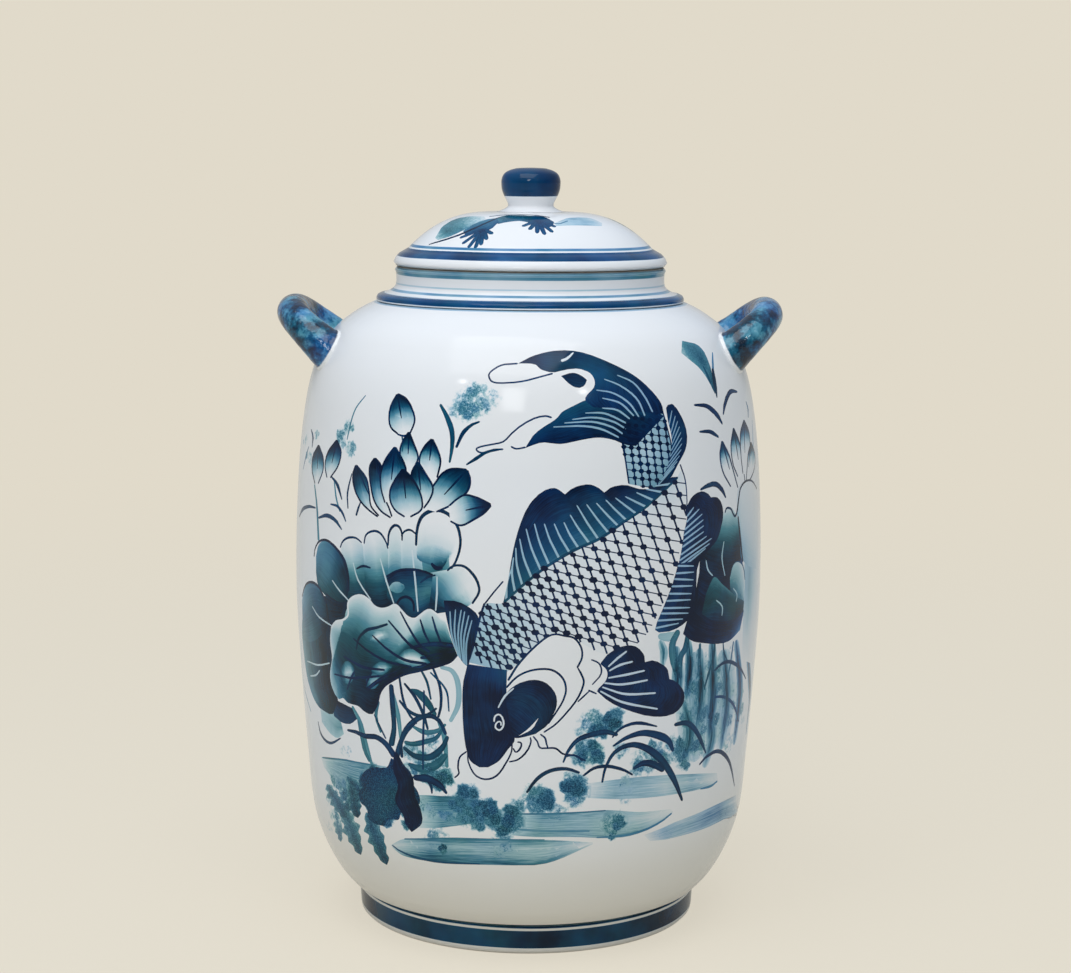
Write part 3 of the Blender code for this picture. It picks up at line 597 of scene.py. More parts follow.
WATER_LINES = (
    (((512, 813.8), (550, 813.8), (583, 812.3), (606, 810.5)), (1, 1.6, 0.8), 0.5, 0.7),
    (((392, 845), (400, 851), (415, 857), (440, 862), (480, 864)), (1, 2.4, 2, 1), 0.7, 0.4),
    (((596, 837.5), (625, 835.5), (646, 829.5), (662, 821), (672, 813)), (1, 2.4, 2, 1.4), 0.45, 0.3),
    (((700, 789), (711, 786), (717.5, 781)), (1, 2.4, 1.4), 0.42, 0.3),
    (((404, 839), (450, 838.5), (500, 839.5), (545, 840)), (1, 1.8, 1), 0.5, 0.7),
    (((500, 828), (545, 831), (590, 831)), (1, 2.2, 1), 0.4, 0.6),
    (((322, 757.5), (345, 760), (372, 765)), (1, 1.6, 1), 0.5, 0.7),
)
MIST = (
    (((694, 652), (698, 700), (694, 762)), (34, 60, 36), 0.17, 0.6),
    (((722, 650), (726, 700), (720, 750)), (34, 48, 30), 0.15, 0.4),
    (((676, 646), (678, 680), (675, 708)), (8, 16, 10), 0.35, 0.7),
    (((688, 640), (690, 668), (686, 700)), (8, 14, 8), 0.4, 0.7),
    (((699, 648), (701, 690), (696, 735)), (10, 18, 10), 0.36, 0.6),
    (((712, 640), (713, 690), (709, 745)), (10, 20, 12), 0.38, 0.5),
    (((724, 650), (727, 700), (721, 750)), (10, 20, 12), 0.34, 0.4),
    (((736, 640), (740, 690), (734, 745)), (10, 18, 10), 0.36, 0.3),
    (((746, 640), (750, 690), (746, 735)), (8, 16, 8), 0.36, 0.2),
    (((684, 700), (690, 730), (684, 766)), (10, 22, 12), 0.3, 0.7),
    (((706, 704), (712, 735), (704, 768)), (10, 20, 10), 0.26, 0.5),
    (((660, 640), (664, 652), (662, 668)), (6, 10, 5), 0.22, 0.8),
)
RIGHT_GRASS = (
    (((563, 763), (568, 751.3), (578, 739.7), (591, 734.8), (606, 732), (618, 735)), (1.2, 3, 4.6, 5, 3), 0.9, 0.4),
    (((612, 738), (617, 731.5), (626, 725.6), (639, 723), (657.5, 726.5)), (1.2, 2.4, 3.2, 1), 0.88, 0.3),
    (((612.7, 746.4), (626, 738), (642.6, 733), (659, 735.6), (669, 741.4), (673.3, 751.5)),
     (1.4, 4, 6, 7.5, 3), 0.92,
     0.3),
    (((602, 783), (606, 766.3), (616, 751.3), (632.6, 744.7), (649, 749.7), (662.5, 761.3), (674, 779.5),
      (682.4, 801)), (1.6, 3, 5, 7.5, 6.5, 2.4), 0.93, 0.35),
    (((632.6, 769), (644, 763), (655, 765), (664, 771)), (2, 5.5, 7, 4), 0.93, 0.3),
    (((674, 724.8), (687.4, 723.2), (697.3, 733), (706, 753.5)), (3, 5.5, 4.5, 1.4), 0.92, 0.3),
    (((699, 765), (707, 756.3), (719, 751.3), (729, 761.3), (734.6, 786.5)), (1.6, 3.4, 4.2, 3.2, 1), 0.85, 0.15),
    (((526.5, 793), (536.5, 779.5), (549.7, 771), (566.3, 768.8), (580, 773)), (1.8, 3.4, 3.4, 2), 0.9, 0.5),
    (((583, 776), (594.5, 768), (607.8, 766.3), (622.7, 769.6), (633, 775)), (1.6, 3, 3, 1.4), 0.9, 0.4),
    (((565, 757), (573, 755), (580, 758), (586, 761)), (1.2, 1.8, 1.2), 0.85, 0.3),
    (((714, 697), (724, 697), (733, 704), (739, 722)), (2, 3, 3, 1), 0.7, 0.1),
    (((714, 671), (723, 663), (731, 662), (740, 668), (746, 679)), (1.4, 3.4, 3.4, 1), 0.8, 0.2),
    (((679, 630), (673, 642), (672, 653), (674, 665), (677, 678)), (6, 8, 7, 3), 0.6, 0.85),
    (((688, 632), (685.5, 648), (681, 656), (680, 668), (681, 679)), (5, 7, 6, 3), 0.7, 0.7),
    (((715, 641), (714, 655), (709, 672), (704, 690)), (2.4, 3, 3, 1.4), 0.7, 0.6),
    (((723, 641), (724, 652), (728, 662)), (1.6, 2, 1), 0.7, 0.4),
    (((733.5, 641), (731, 660), (727, 682), (722, 700)), (2, 2.4, 2.2, 1), 0.55, 0.3),
    (((700, 643), (700, 668), (705, 690)), (3, 3.4, 1.4), 0.6, 0.7),
)
DABS = (
    (540, 801, 15, 0.85), (532, 795, 10, 0.6), (512, 819, 13, 0.9), (505, 826, 11, 0.85), (518, 806, 9, 0.55),
    (575, 788, 14, 0.9), (570, 780, 9, 0.6), (550, 820, 9, 0.35), (614, 824, 12, 0.7), (612, 834, 7, 0.6),
    (613, 720, 12, 0.92), (600, 726, 12, 0.85), (590, 721, 12, 0.45), (582, 732, 9, 0.35), (585, 745, 9, 0.6),
    (595, 752, 12, 0.8), (580, 758, 10, 0.75), (643, 758, 12, 0.45), (650, 765, 10, 0.6), (638, 768, 9, 0.6),
    (679, 750, 13, 0.7), (692, 744, 12, 0.65), (671, 742, 9, 0.5), (684, 762, 10, 0.6), (628, 784, 11, 0.35),
    (503, 843, 12, 0.45), (497, 853, 9, 0.4), (716, 731, 14, 0.4), (699, 716, 13, 0.45), (730, 715, 11, 0.3),
    (729, 743, 12, 0.3), (706, 735, 12, 0.5), (469, 797, 13, 0.85), (459, 803, 11, 0.7), (445, 806, 13, 0.5),
    (436, 812, 10, 0.4), (488, 806, 10, 0.85), (492, 817, 12, 0.92), (477, 806, 9, 0.75), (438, 836, 12, 0.45),
    (431, 843, 9, 0.35), (443, 849, 5, 0.97), (437, 781, 11, 0.92), (446, 777, 9, 0.85), (428, 774, 9, 0.8),
    (412, 752, 11, 0.5), (424, 762, 12, 0.6), (438, 760, 11, 0.6), (410, 770, 9, 0.6), (432, 742, 9, 0.45),
    (337, 783, 12, 0.5), (345, 792, 12, 0.7), (336, 800, 10, 0.6), (352, 803, 11, 0.85), (358, 794, 9, 0.85),
    (349, 777, 10, 0.4), (366, 782, 10, 0.95), (374, 774, 10, 0.97), (367, 797, 11, 0.9), (374, 810, 11, 0.92),
    (386, 817, 10, 0.85), (396, 806, 10, 0.8), (408, 812, 9, 0.95), (413, 800, 8, 0.95), (408, 824, 7, 0.97),
    (345, 752, 8, 0.25), (332, 812, 9, 0.3), (328, 800, 8, 0.3), (330, 826, 7, 0.22),
    (474, 395, 12, 0.5), (464, 403, 12, 0.6), (484, 403, 12, 0.45), (470, 412, 10, 0.55), (456, 410, 9, 0.4),
    (493, 398, 9, 0.3), (480, 390, 8, 0.35), (348, 427, 8, 0.45), (342, 440, 10, 0.5), (350, 448, 9, 0.45),
    (338, 452, 7, 0.4), (310, 458, 8, 0.45), (306, 440, 7, 0.35), (316, 434, 6, 0.4), (684, 700, 11, 0.35),
    (690, 668, 11, 0.4), (705, 662, 11, 0.35), (716, 680, 12, 0.4), (728, 665, 11, 0.3), (738, 690, 11, 0.35),
    (720, 702, 11, 0.35), (690, 730, 11, 0.4), (742, 720, 9, 0.25), (735, 650, 9, 0.25),
    (696, 690, 13, 0.6), (708, 720, 14, 0.6), (722, 690, 13, 0.55), (724, 722, 13, 0.5), (704, 748, 12, 0.5),
    (686, 716, 11, 0.55), (712, 668, 11, 0.55), (736, 706, 11, 0.45), (450, 815, 12, 0.5), (462, 815, 12, 0.6),
    (474, 812, 12, 0.7), (478, 822, 11, 0.7), (454, 806, 11, 0.7), (425, 806, 11, 0.4), (620, 748, 10, 0.4),
    (655, 750, 11, 0.55), (664, 760, 11, 0.55), (575, 800, 10, 0.5), (560, 812, 9, 0.4), (625, 795, 10, 0.3),
)
FAR_BLADES = (
    (((693.7, 405), (705.9, 405.8), (713.6, 411.2), (718.2, 416.5), (722.6, 424.4)), (1.4, 3.4, 5, 5, 1.6),
     0.93, 0.1),
    (((737.5, 391.8), (731.2, 391.3), (727.4, 396.6), (724.3, 406.6), (723.2, 415)), (2, 4.6, 5, 4, 1.4), 0.93, 0.1),
    (((699, 431.8), (709, 431.5), (713.6, 433.4), (719, 437.4)), (1.2, 3, 4, 1.6), 0.85, 0.3),
    (((745.8, 401), (748, 409), (748.2, 418)), (1.4, 4, 1.4), 0.55, 0.1),
    (((712.5, 352), (712.8, 362), (713, 374)), (1, 2.6, 3), 0.45, 0.2),
    (((703, 366), (707, 374), (711, 384)), (1.4, 3.4, 3), 0.65, 0.6),
    (((712.6, 368), (714, 378), (716, 390), (717, 398)), (3, 5.5, 4.6, 1.2), 0.95, 0.4),
    (((752, 420), (753, 440), (753, 470)), (1, 3, 1), 0.35, 0.1),
    (((700, 490), (707, 486), (715, 484), (721.5, 489), (726, 498)), (1.6, 4, 5, 4.4, 1.4), 0.93, 0.2),
)
FAR_PETALS = (
    (((733.5, 428), (731, 445), (733, 464), (738, 477)), ((733.5, 428), (739, 441), (742, 458), (745, 482))),
    (((744, 420), (740.5, 433), (741, 456), (743, 474)), ((744, 420), (749, 432), (750, 450), (748, 474))),
    (((722, 441), (720, 455), (723, 472), (731, 487)), ((722, 441), (729, 455), (733, 470), (738, 488))),
    (((751, 442), (748, 455), (747, 470), (746, 482)), ((751, 442), (755, 455), (754, 470), (748, 484))),
)
FAR_LEAF = (
    (((744, 484), (745, 530), (744, 580), (742, 660)), ((758, 487), (759, 540), (759, 590), (753, 664)),
     ((0.02, 0.04, 0.03, 0.0), (0.1, 0.2, 0.12, 0.0), (0.16, 0.28, 0.14, 0.0), (0.2, 0.28, 0.12, 0.0),
      (0.1, 0.14, 0.05, 0.0), (0.0, 0.0, 0.0, 0.0)), ((0.5,),)),
    (((702, 552), (698, 580), (692, 606), (684, 632)), ((742, 556), (744, 585), (743, 608), (738, 630)),
     ((0.97, 1.0, 1.0, 0.97, 0.7), (1.0, 1.0, 1.0, 0.97, 0.6), (0.97, 1.0, 1.0, 0.95, 0.4)), ((0.3, 0.1, 0.1),)),
    (((737, 505), (738, 488), (744, 481), (751, 482), (757, 490)),
     ((738, 545), (741, 557), (745, 563), (750, 567), (756, 569)),
     ((0.12, 0.4, 0.9), (0.03, 0.1, 0.3), (0.0, 0.05, 0.14)), ((0.5,),)),
    (((720, 520), (726, 509), (731, 507), (735, 513), (739, 522)),
     ((702, 556), (711, 562), (721, 566), (732, 566), (741, 560)),
     ((0.1, 0.5, 0.85, 1.0), (0.05, 0.4, 0.8, 1.0), (0.3, 0.7, 0.97, 1.0)), ((0.9, 0.9, 0.3),)),
    (((700, 556), (711, 561), (721, 565), (732, 565), (741, 559)),
     ((698, 596), (706, 602), (716, 598), (724, 590), (732, 580)),
     ((0.97, 0.97), (1.0, 1.0)), ((0.3, 0.0),)),
    (((730, 577), (733, 565), (738, 561), (743, 566), (745, 580), (744, 596)),
     ((730, 592), (733, 598), (736, 604), (739, 607), (741, 608), (742, 608)),
     ((0.3, 0.5, 0.8), (0.03, 0.3, 0.7), (0.05, 0.4, 0.8)), ((0.9, 0.7),)),
    (((706, 594), (711, 582), (715, 577), (721, 583), (729, 590), (737, 597), (744, 601)),
     ((700, 622), (708, 627), (716, 629), (724, 628), (732, 625), (738, 621), (743, 616)),
     ((0.8, 0.85, 0.97), (0.5, 0.75, 0.85, 0.97), (0.5, 0.85, 0.8, 0.97), (0.7, 0.85, 0.97)), ((0.9, 0.9, 0.3),)),
    (((692, 604), (702, 614), (712, 620), (724, 622), (736, 618), (744, 610)),
     ((683, 634), (692, 641), (703, 643), (716, 644), (729, 641), (740, 630)),
     ((0.97, 1.0, 0.9), (1.0, 1.0, 0.97), (1.0, 1.0, 0.97), (0.97, 0.97, 0.8), (0.7, 0.6, 0.4)), ((0.2, 0.0),)),
)
FAR_LEAF_LIGHTS = (((724, 541), (722, 558), (725, 576)), ((706, 560), (708, 570), (713, 576)),
                   ((716, 600), (722, 606), (722, 616)), ((733, 588), (737, 594), (736, 602)))
FAR_LEAF_LINES = (
    (((725, 513), (727, 508), (731, 509), (734.5, 516), (736.5, 514), (738.6, 500), (740.6, 488), (746, 481),
      (752, 481), (757, 489)), (1.4, 2.4, 2, 1.4), 0.92, 0.2),
    (((738, 516), (740, 535), (742, 555), (743, 562)), (2, 3.4, 2), 0.97, 0.2),
    (((730, 577), (733, 565), (738, 561), (743, 566), (745, 580)), (1, 1.6, 1), 0.6, 0.5),
)

SPRAY = (
    (((428.6, 244.5), (443, 240.4), (459, 235), (475, 228), (488, 222), (500, 217)), (1.4, 2.6, 3, 3, 2), 0.93, 0.2),
    (((553.6, 223.4), (560, 223.6), (568, 220.7)), (1.4, 1.4, 1), 0.5, 0.3),
    (((489, 216.5), (505, 214.8), (520, 214.6), (536, 215.2), (550, 217.5)), (2, 3, 2.4), 0.9, 0.2),
)
SPRAY_LEAVES = (
    (((463, 231), (474, 224), (486, 219.5), (497, 218)), ((465, 235), (479, 232.5), (491, 229), (499, 222)),
     ((0.5, 0.75), (0.6, 0.9, 0.75), (0.5, 0.82, 0.7), (0.6, 0.7)), ((0.5, 0.1),), 0.2),
    (((494, 219), (505, 215.5), (520, 214.8), (532, 216)), ((498, 224), (508, 222), (520, 221), (531, 223)),
     ((0.5, 0.7), (0.72, 0.42, 0.6), (0.75, 0.45, 0.62), (0.78, 0.75)), ((0.8, 0.3),), 0.3),
    (((529, 216), (538, 215.5), (547, 218), (554, 222)), ((528, 224), (537, 226.5), (546, 228), (553, 226)),
     ((0.7, 0.78), (0.78, 0.9, 0.78), (0.78, 0.88, 0.7), (0.75, 0.75)), ((0.4, 0.1),), 0.2),
    (((435, 238), (442, 227), (454, 219.5), (468, 216.5), (484, 216.5)),
     ((438, 240), (450, 236.5), (462, 231), (474, 225), (486, 219)),
     ((0.2, 0.3), (0.5, 0.65, 0.45), (0.6, 0.45, 0.55), (0.35, 0.3), (0.15, 0.2)), ((0.95, 0.7),), 0.5),
    (((555, 223), (566, 218.5), (580, 217.3), (592, 218.6), (602, 223)),
     ((556, 226), (570, 225.5), (584, 225.5), (602, 226)),
     ((0.12, 0.2), (0.3, 0.16), (0.2, 0.3), (0.1, 0.12)), ((0.5,),), -0.8),
)
FANS = (
    ((483, 229), ((459.5, 238), (462, 244), (468, 248), (475, 248.5), (481, 245.5), (487, 240), (493, 234))),
    ((538, 220), ((556, 227), (553, 232.5), (545, 235), (537, 233.5), (529, 230), (522, 226.5))),
)

# Small parts of the carp
# Painted highlight: a near-white dash on the tail where the glaze shines.
TAIL_GLINT = ((561, 361), (567, 358.5), (573.6, 352.3))
BACK_EDGES = (
    (((503.4, 581), (494, 592), (484.6, 604)), (1.1,), 0.9, 0.0),
    (((484.6, 603), (478, 624), (473.5, 645), (469, 660)), (1.6, 2.4, 1.6), 0.9, 0.0),
    (((680, 464), (685.2, 480), (687, 500), (686.6, 512)), (1.2, 0.8), 0.85, 0.0),
)
FAR_FIN_TIPS = ((694, 507), (700, 509), (703, 516), (704, 526), (705, 535), (712, 538), (706, 548))
HIND_FIN_TIPS = ((695, 566), (695, 577), (693.7, 585), (692.7, 594), (691.6, 604), (690.5, 612), (680, 623))
LEFT_FIN_TIPS = ((472, 620), (466, 612), (458, 609), (450, 611))
GILL_FRONT_UPPER = ((508, 682), (512, 700), (520, 715), (535, 725), (543, 731))
GILL_FRONT_LOWER = ((560, 660), (550, 680), (545, 700), (542, 725), (541, 731))
CHEEK_SLIT_LOW = ((518.6, 736), (532, 729), (538.5, 718))
CHEEK_LIGHT = ((498, 708), (505, 696), (514, 688))

# Small parts of the plants
LOTUS_HEART = (
    (((397, 434), (404, 436), (411, 433)), (1.2, 1.6, 1.2), 0.85, 0.0),
    (((402, 436), (403, 444), (402, 452)), (1.4, 1.2, 1.0), 0.7, 0.6),
)
CURLED_ENDS = (
    (((331, 692), (337, 700), (344, 704), (352, 708)), ((334, 716), (341, 722), (350, 724), (357, 719)),
     ((0.9, 0.8), (1.0, 0.8), (1.0, 0.9)), ((0.3,),)),
    (((320, 706), (326, 704), (333, 712), (341, 722)), ((322, 722), (329, 732), (337, 738), (344, 734)),
     ((0.1, 0.2), (0.2, 0.3, 0.2), (0.3, 0.4, 0.2)), ((0.9,),)),
)
FAR_REED = (
    ((682, 340.7), (697, 344.5), (704.4, 352.2), (707.5, 359), (711, 369), (716, 392)),
    ((681.4, 353), (690.6, 360.6), (698.3, 367), (704, 374), (709, 382), (715, 394)),
    ((0.45, 0.3), (0.5, 0.62, 0.4), (0.5, 0.7, 0.45), (0.6, 0.4), (0.8, 0.5), (0.9, 0.8)), ((0.9,), (0.6,)),
)
FAR_TUFT = ((658, 636), (668, 637), (680, 633))
MIST_SHARES = (1.6, 2.6, 2.4, 1.0)
ROOTS_INK = ((0.97, 0.97), (1.0, 0.9, 0.97), (0.97, 0.85, 0.75, 0.97), (0.95, 0.75, 0.85, 0.97), (0.9, 0.75, 0.9),
             (0.9, 0.97))
BACK_FOLD_INK = ((0.3, 0.5, 0.9), (0.05, 0.4, 0.9), (0.04, 0.3, 0.85), (0.05, 0.4, 0.95), (0.5, 0.9, 1.0))
SIDE_LEAF_TONES = ((0.5, 0.7), (0.5, 1.0), (0.6, 0.9), (0.7, 1.1), (1.0, 1.2))
SIDE_LEAF_TEETH = 10
PETAL_TONES = ((1.0, 1.0, 1.0), (1.0, 0.97, 1.0), (0.92, 0.72, 0.85), (0.55, 0.34, 0.5), (0.28, 0.12, 0.2),
               (0.1, 0.02, 0.06))

# Where the motifs come again behind: a turn from the front in degrees, the spot that comes there, and a flip
BACK_PLANTS = ((118, (400, 640), -1.0), (-116, (400, 640), 1.0))
BACK_GRASSES = ((158, (690, 760), 1.0), (-150, (640, 760), -1.0))
BACK_SPRAY = (151, (535, 222), 1.0)


def spread(values, share):
    """The value at a share of the way along evenly spaced values."""
    place = max(0.0, min(1.0, share)) * (len(values) - 1)
    i = min(int(place), len(values) - 2)
    if i < 0:
        return values[0]
    return values[i] + (values[i + 1] - values[i]) * (place - i)


def running_lengths(line):
    """The length of a line up to each of its points."""
    lengths = [0.0]
    for a, b in zip(line, line[1:]):
        lengths.append(lengths[-1] + (b - a).length)
    return lengths


def turns(sweep, count, start=0.0):
    """The angles of an arc in even steps, both ends too."""
    return [start + sweep * i / count for i in range(count + 1)]


def curve(knots, step):
    """Even points on a smooth curve through the knots. A knot given twice is a corner."""
    runs = [[Vector(knots[0])]]
    for before, knot in zip(knots, knots[1:]):
        if knot == before:
            runs.append([])
        runs[-1].append(Vector(knot))
    line = []
    for run in runs:
        tangents = []
        for i in range(len(run)):
            tangents.append((run[min(i + 1, len(run) - 1)] - run[max(i - 1, 0)]).normalized())
        smooth = [run[0]]
        for i in range(len(run) - 1):
            reach = (run[i + 1] - run[i]).length / 3.0
            out_of = run[i] + tangents[i] * reach
            into = run[i + 1] - tangents[i + 1] * reach
            smooth += interpolate_bezier(run[i], out_of, into, run[i + 1], CURVE_POINTS)[1:]
        lengths = running_lengths(smooth)
        count = max(1, ceil(lengths[-1] / step))
        j = 0
        for i in range(count + 1):
            target = lengths[-1] * i / count
            while j < len(lengths) - 2 and lengths[j + 1] < target:
                j += 1
            part = (target - lengths[j]) / max(lengths[j + 1] - lengths[j], 1e-12)
            line.append(smooth[j].lerp(smooth[j + 1], min(1.0, part)))
    return [Vector((p[0], p[1])) for p in line]


class Skin:
    """A turned skin unrolled flat: the angle round the axis by the length along its profile.

    The profile goes outwards below, up the outside and back inside. rise marks the part of it
    that is seen from outside, as the first and last numbers of its points.
    """

    def __init__(self, profile, ring, rise):
        self.profile = profile
        self.ring = ring
        self.lengths = [0.0]
        for a, b in zip(profile, profile[1:]):
            self.lengths.append(self.lengths[-1] + hypot(b[0] - a[0], b[1] - a[1]))
        self.total = self.lengths[-1]
        self.low, self.high = profile[rise[0]][1], profile[rise[1]][1]
        self.reach = (self.lengths[rise[0]], self.lengths[rise[1]])
        self.samples = []
        i = rise[0]
        for j in range(OUTSIDE_SAMPLES + 1):
            height = self.low + (self.high - self.low) * j / OUTSIDE_SAMPLES
            while i < rise[1] - 1 and profile[i + 1][1] < height:
                i += 1
            (r0, z0), (r1, z1) = profile[i], profile[i + 1]
            share = max(0.0, min(1.0, (height - z0) / max(z1 - z0, 1e-12)))
            self.samples.append((r0 + (r1 - r0) * share,
                                 self.lengths[i] + (self.lengths[i + 1] - self.lengths[i]) * share))

    def at(self, length):
        """Radius, height and direction of the profile at a length along it."""
        low, high = 0, len(self.lengths) - 1
        while high - low > 1:
            middle = (low + high) // 2
            if self.lengths[middle] <= length:
                low = middle
            else:
                high = middle
        a, b = self.profile[low], self.profile[high]
        run = self.lengths[high] - self.lengths[low]
        share = (length - self.lengths[low]) / run
        return (a[0] + (b[0] - a[0]) * share, a[1] + (b[1] - a[1]) * share, (b[0] - a[0]) / run,
                (b[1] - a[1]) / run)

    def narrowing(self, length):
        """The radius at a length, as a share of the radius that the sheet is laid out for."""
        return self.at(min(max(length, 0.0), self.total - 1e-9))[0] / self.ring

    def outside(self, height):
        """Radius and length of the outside at a height."""
        share = (height - self.low) / (self.high - self.low)
        place = max(0.0, min(OUTSIDE_SAMPLES - 1e-6, share * OUTSIDE_SAMPLES))
        i = int(place)
        (r0, l0), (r1, l1) = self.samples[i], self.samples[i + 1]
        return r0 + (r1 - r0) * (place - i), l0 + (l1 - l0) * (place - i)

    def front(self, spot):
        """Flat place of the point of the skin that the eye sees at a spot of the picture frame."""
        across, down = spot[0] - VIEW_WIDE / 2.0, spot[1] - VIEW_HIGH / 2.0
        u = (across * cos(EYE_ROLL) + down * sin(EYE_ROLL)) / VIEW_FOCAL
        v = (across * sin(EYE_ROLL) - down * cos(EYE_ROLL)) / VIEW_FOCAL
        ray = Vector((u, cos(EYE_PITCH) + v * sin(EYE_PITCH), v * cos(EYE_PITCH) - sin(EYE_PITCH)))
        a = ray.x ** 2 + ray.y ** 2
        b = EYE.x * ray.x + EYE.y * ray.y
        reach = -b / a
        for _ in range(SIGHT_ROUNDS):
            radius = self.outside(EYE.z + ray.z * reach)[0]
            c = EYE.x ** 2 + EYE.y ** 2 - radius ** 2
            reach = (reach + (-b - sqrt(max(b * b - a * c, 0.0))) / a) / 2.0
        place = EYE + ray * reach
        return Vector((atan2(place.x, -place.y) * self.ring, self.outside(place.z)[1]))


def thinned(points, slack, kept=()):
    """Indices of the points that matter: leaving out the others moves the line less than the slack."""
    keep = sorted({0, len(points) - 1, *kept})
    runs = list(zip(keep, keep[1:]))
    keep = set(keep)
    while runs:
        first, last = runs.pop()
        line = points[last] - points[first]
        whole = max(line.dot(line), 1e-12)
        worst, at = slack, None
        for i in range(first + 1, last):
            off = points[i] - points[first]
            away = (off - line * max(0.0, min(1.0, off.dot(line) / whole))).length
            if away > worst:
                worst, at = away, i
        if at is not None:
            keep.add(at)
            runs += [(first, at), (at, last)]
    return sorted(keep)


class Brushwork:
    """Painted shapes on a flat skin, kept in the order of painting. Sizes are in the picture frame."""

    def __init__(self, skin, seed):
        self.skin = skin
        self.place = skin.front
        self.draw = random.Random(seed)
        self.points = []
        self.patches = []
        self.shape = 0

    def add(self, spot):
        """Notes a point, kept within the sheet, and gives its number."""
        edge = pi * self.skin.ring - SIDE_MARGIN
        self.points.append(Vector((max(-edge, min(edge, spot.x)),
                                   max(END_MARGIN, min(self.skin.total - END_MARGIN, spot.y)))))
        return len(self.points) - 1

    def triangle(self, corners, way):
        """One patch. A corner is (index, ink, teal, stipple, along, across)."""
        a, b, c = (self.points[corner[0]] for corner in corners)
        area = (b - a).cross(c - a)
        if abs(area) < SMALLEST_PATCH * max((b - a).length, (c - b).length, (a - c).length):
            return
        if area < 0.0:
            corners = (corners[0], corners[2], corners[1])
        self.patches.append((tuple(corner[0] for corner in corners), self.shape, way,
                             tuple(corner[1:] for corner in corners)))

    def grid(self, rows, way):
        """Patches over rows of corners: one shape."""
        self.shape += 1
        for upper, lower in zip(rows, rows[1:]):
            for i in range(len(upper) - 1):
                self.triangle((upper[i], lower[i], lower[i + 1]), way)
                self.triangle((upper[i], lower[i + 1], upper[i + 1]), way)

    def stroke(self, spine, widths, ink=(1.0,), teal=(0.0,), core=0.88, way=LAY, stipple=0.0, edge=1.0):
        """A brush stroke along a spine. Widths, inks and teals spread evenly along it.

        core and edge are the shares of the ink in the middle of a wide stroke and at its sides.
        """
        line = curve(spine, LINE_STEP)
        lengths = running_lengths(line)
        total = max(lengths[-1], 1e-9)
        fine = []
        for spot, length in zip(line, lengths):
            half = spread(widths, length / total) / 2.0
            half += min(half, LINE_GAIN)
            room, cap = min(length, total - length), min(half, total / 2.0)
            if room < cap:
                half *= max(BLUNT_END, sqrt(1.0 - (1.0 - room / cap) ** 2))
            fine.append(Vector((spot.x, spot.y, half)))
        start = self.draw.random() * DRAW_REACH
        wide = max(widths) > WIDE_STROKE
        rows = []
        for i in thinned(fine, SLACK):
            ahead = (line[min(i + 1, len(line) - 1)] - line[max(i - 1, 0)]).normalized() / 2.0
            spot = self.place(line[i])
            radius = self.skin.narrowing(spot.y)
            along = self.place(line[i] + ahead) - self.place(line[i] - ahead)
            along = Vector((along.x * radius, along.y))
            if along.length < 1e-7:
                continue
            along.normalize()
            half = fine[i].z * VIEW_UNIT
            share = lengths[i] / total
            tone, hue = spread(ink, share), spread(teal, share)
            row = []
            for side in (1.0, 0.0, -1.0) if wide else (1.0, -1.0):
                index = self.add(Vector((spot.x - along.y * half * side / radius, spot.y + along.x * half * side)))
                row.append((index, tone * (edge if side else core), hue, stipple, start + lengths[i] * VIEW_UNIT / MM,
                            side * half / MM))
            rows.append(row)
        self.grid(rows, way)

    def wash(self, side_a, side_b, ink, teal=((0.0,),), way=LAY, stipple=0.0):
        """A filled shape ruled between two sides. Tones are rows along by values across."""
        lines = [curve(side, WASH_LINE_STEP) for side in (side_a, side_b)]
        count = max(len(line) for line in lines)
        columns = []
        for line in lines:
            xs, ys = [spot.x for spot in line], [spot.y for spot in line]
            shares = [i / (count - 1) for i in range(count)]
            columns.append([Vector((spread(xs, share), spread(ys, share))) for share in shares])
        widest = max((a - b).length for a, b in zip(*columns))
        across = max(len(ink[0]) - 1, len(teal[0]) - 1, ceil(widest / WASH_STEP))
        tallies = max(len(ink), len(teal), ceil(count * WASH_LINE_STEP / LONGEST_STEP))
        kept = [round(i / tallies * (count - 1)) for i in range(tallies)]
        kept += [round(i / max(len(ink) - 1, 1) * (count - 1)) for i in range(len(ink))]
        start = self.draw.random() * DRAW_REACH
        rows = []
        for i in thinned([Vector((*a, *b)) for a, b in zip(*columns)], 2.0 * SLACK, kept):
            share = i / (count - 1)
            row = []
            for j in range(across + 1):
                side = j / across
                index = self.add(self.place(columns[0][i].lerp(columns[1][i], side)))
                tone = spread([spread(values, side) for values in ink], share)
                hue = spread([spread(values, side) for values in teal], share)
                row.append((index, tone, hue, stipple, start + i * WASH_LINE_STEP * VIEW_UNIT / MM,
                            side * widest * VIEW_UNIT / MM))
            rows.append(row)
        self.grid(rows, way)

    def clump(self, spot, size, ink=0.6, teal=0.8):
        """A touch of the sponge: uneven edge, densest in its middle."""
        centre = self.place(spot)
        radius = self.skin.narrowing(centre.y)
        lobes = [self.draw.uniform(0.72, 1.2) for _ in range(CLUMP_LOBES)]
        rows = []
        for share, strength in CLUMP_RINGS:
            row = []
            for turn, lobe in zip(turns(2.0 * pi, CLUMP_LOBES), lobes):
                out = share * size * lobe * VIEW_UNIT
                index = self.add(centre + Vector((out * cos(turn) / radius, out * sin(turn))))
                row.append((index, ink * strength, teal, 1.0, 0.0, 0.0))
            rows.append(row + row[:1])
        self.grid(rows, LAY)

    def thread(self, start, end, width):
        """A straight thin line."""
        side = Vector((start.y - end.y, end.x - start.x)).normalized() * width / 2.0
        rows = []
        for spot in (start, end):
            row = [self.add(self.place(place)) for place in (spot + side, spot - side)]
            rows.append([(index, 0.92, 0.0, 0.0, 0.0, 0.0) for index in row])
        self.grid(rows, LAY)

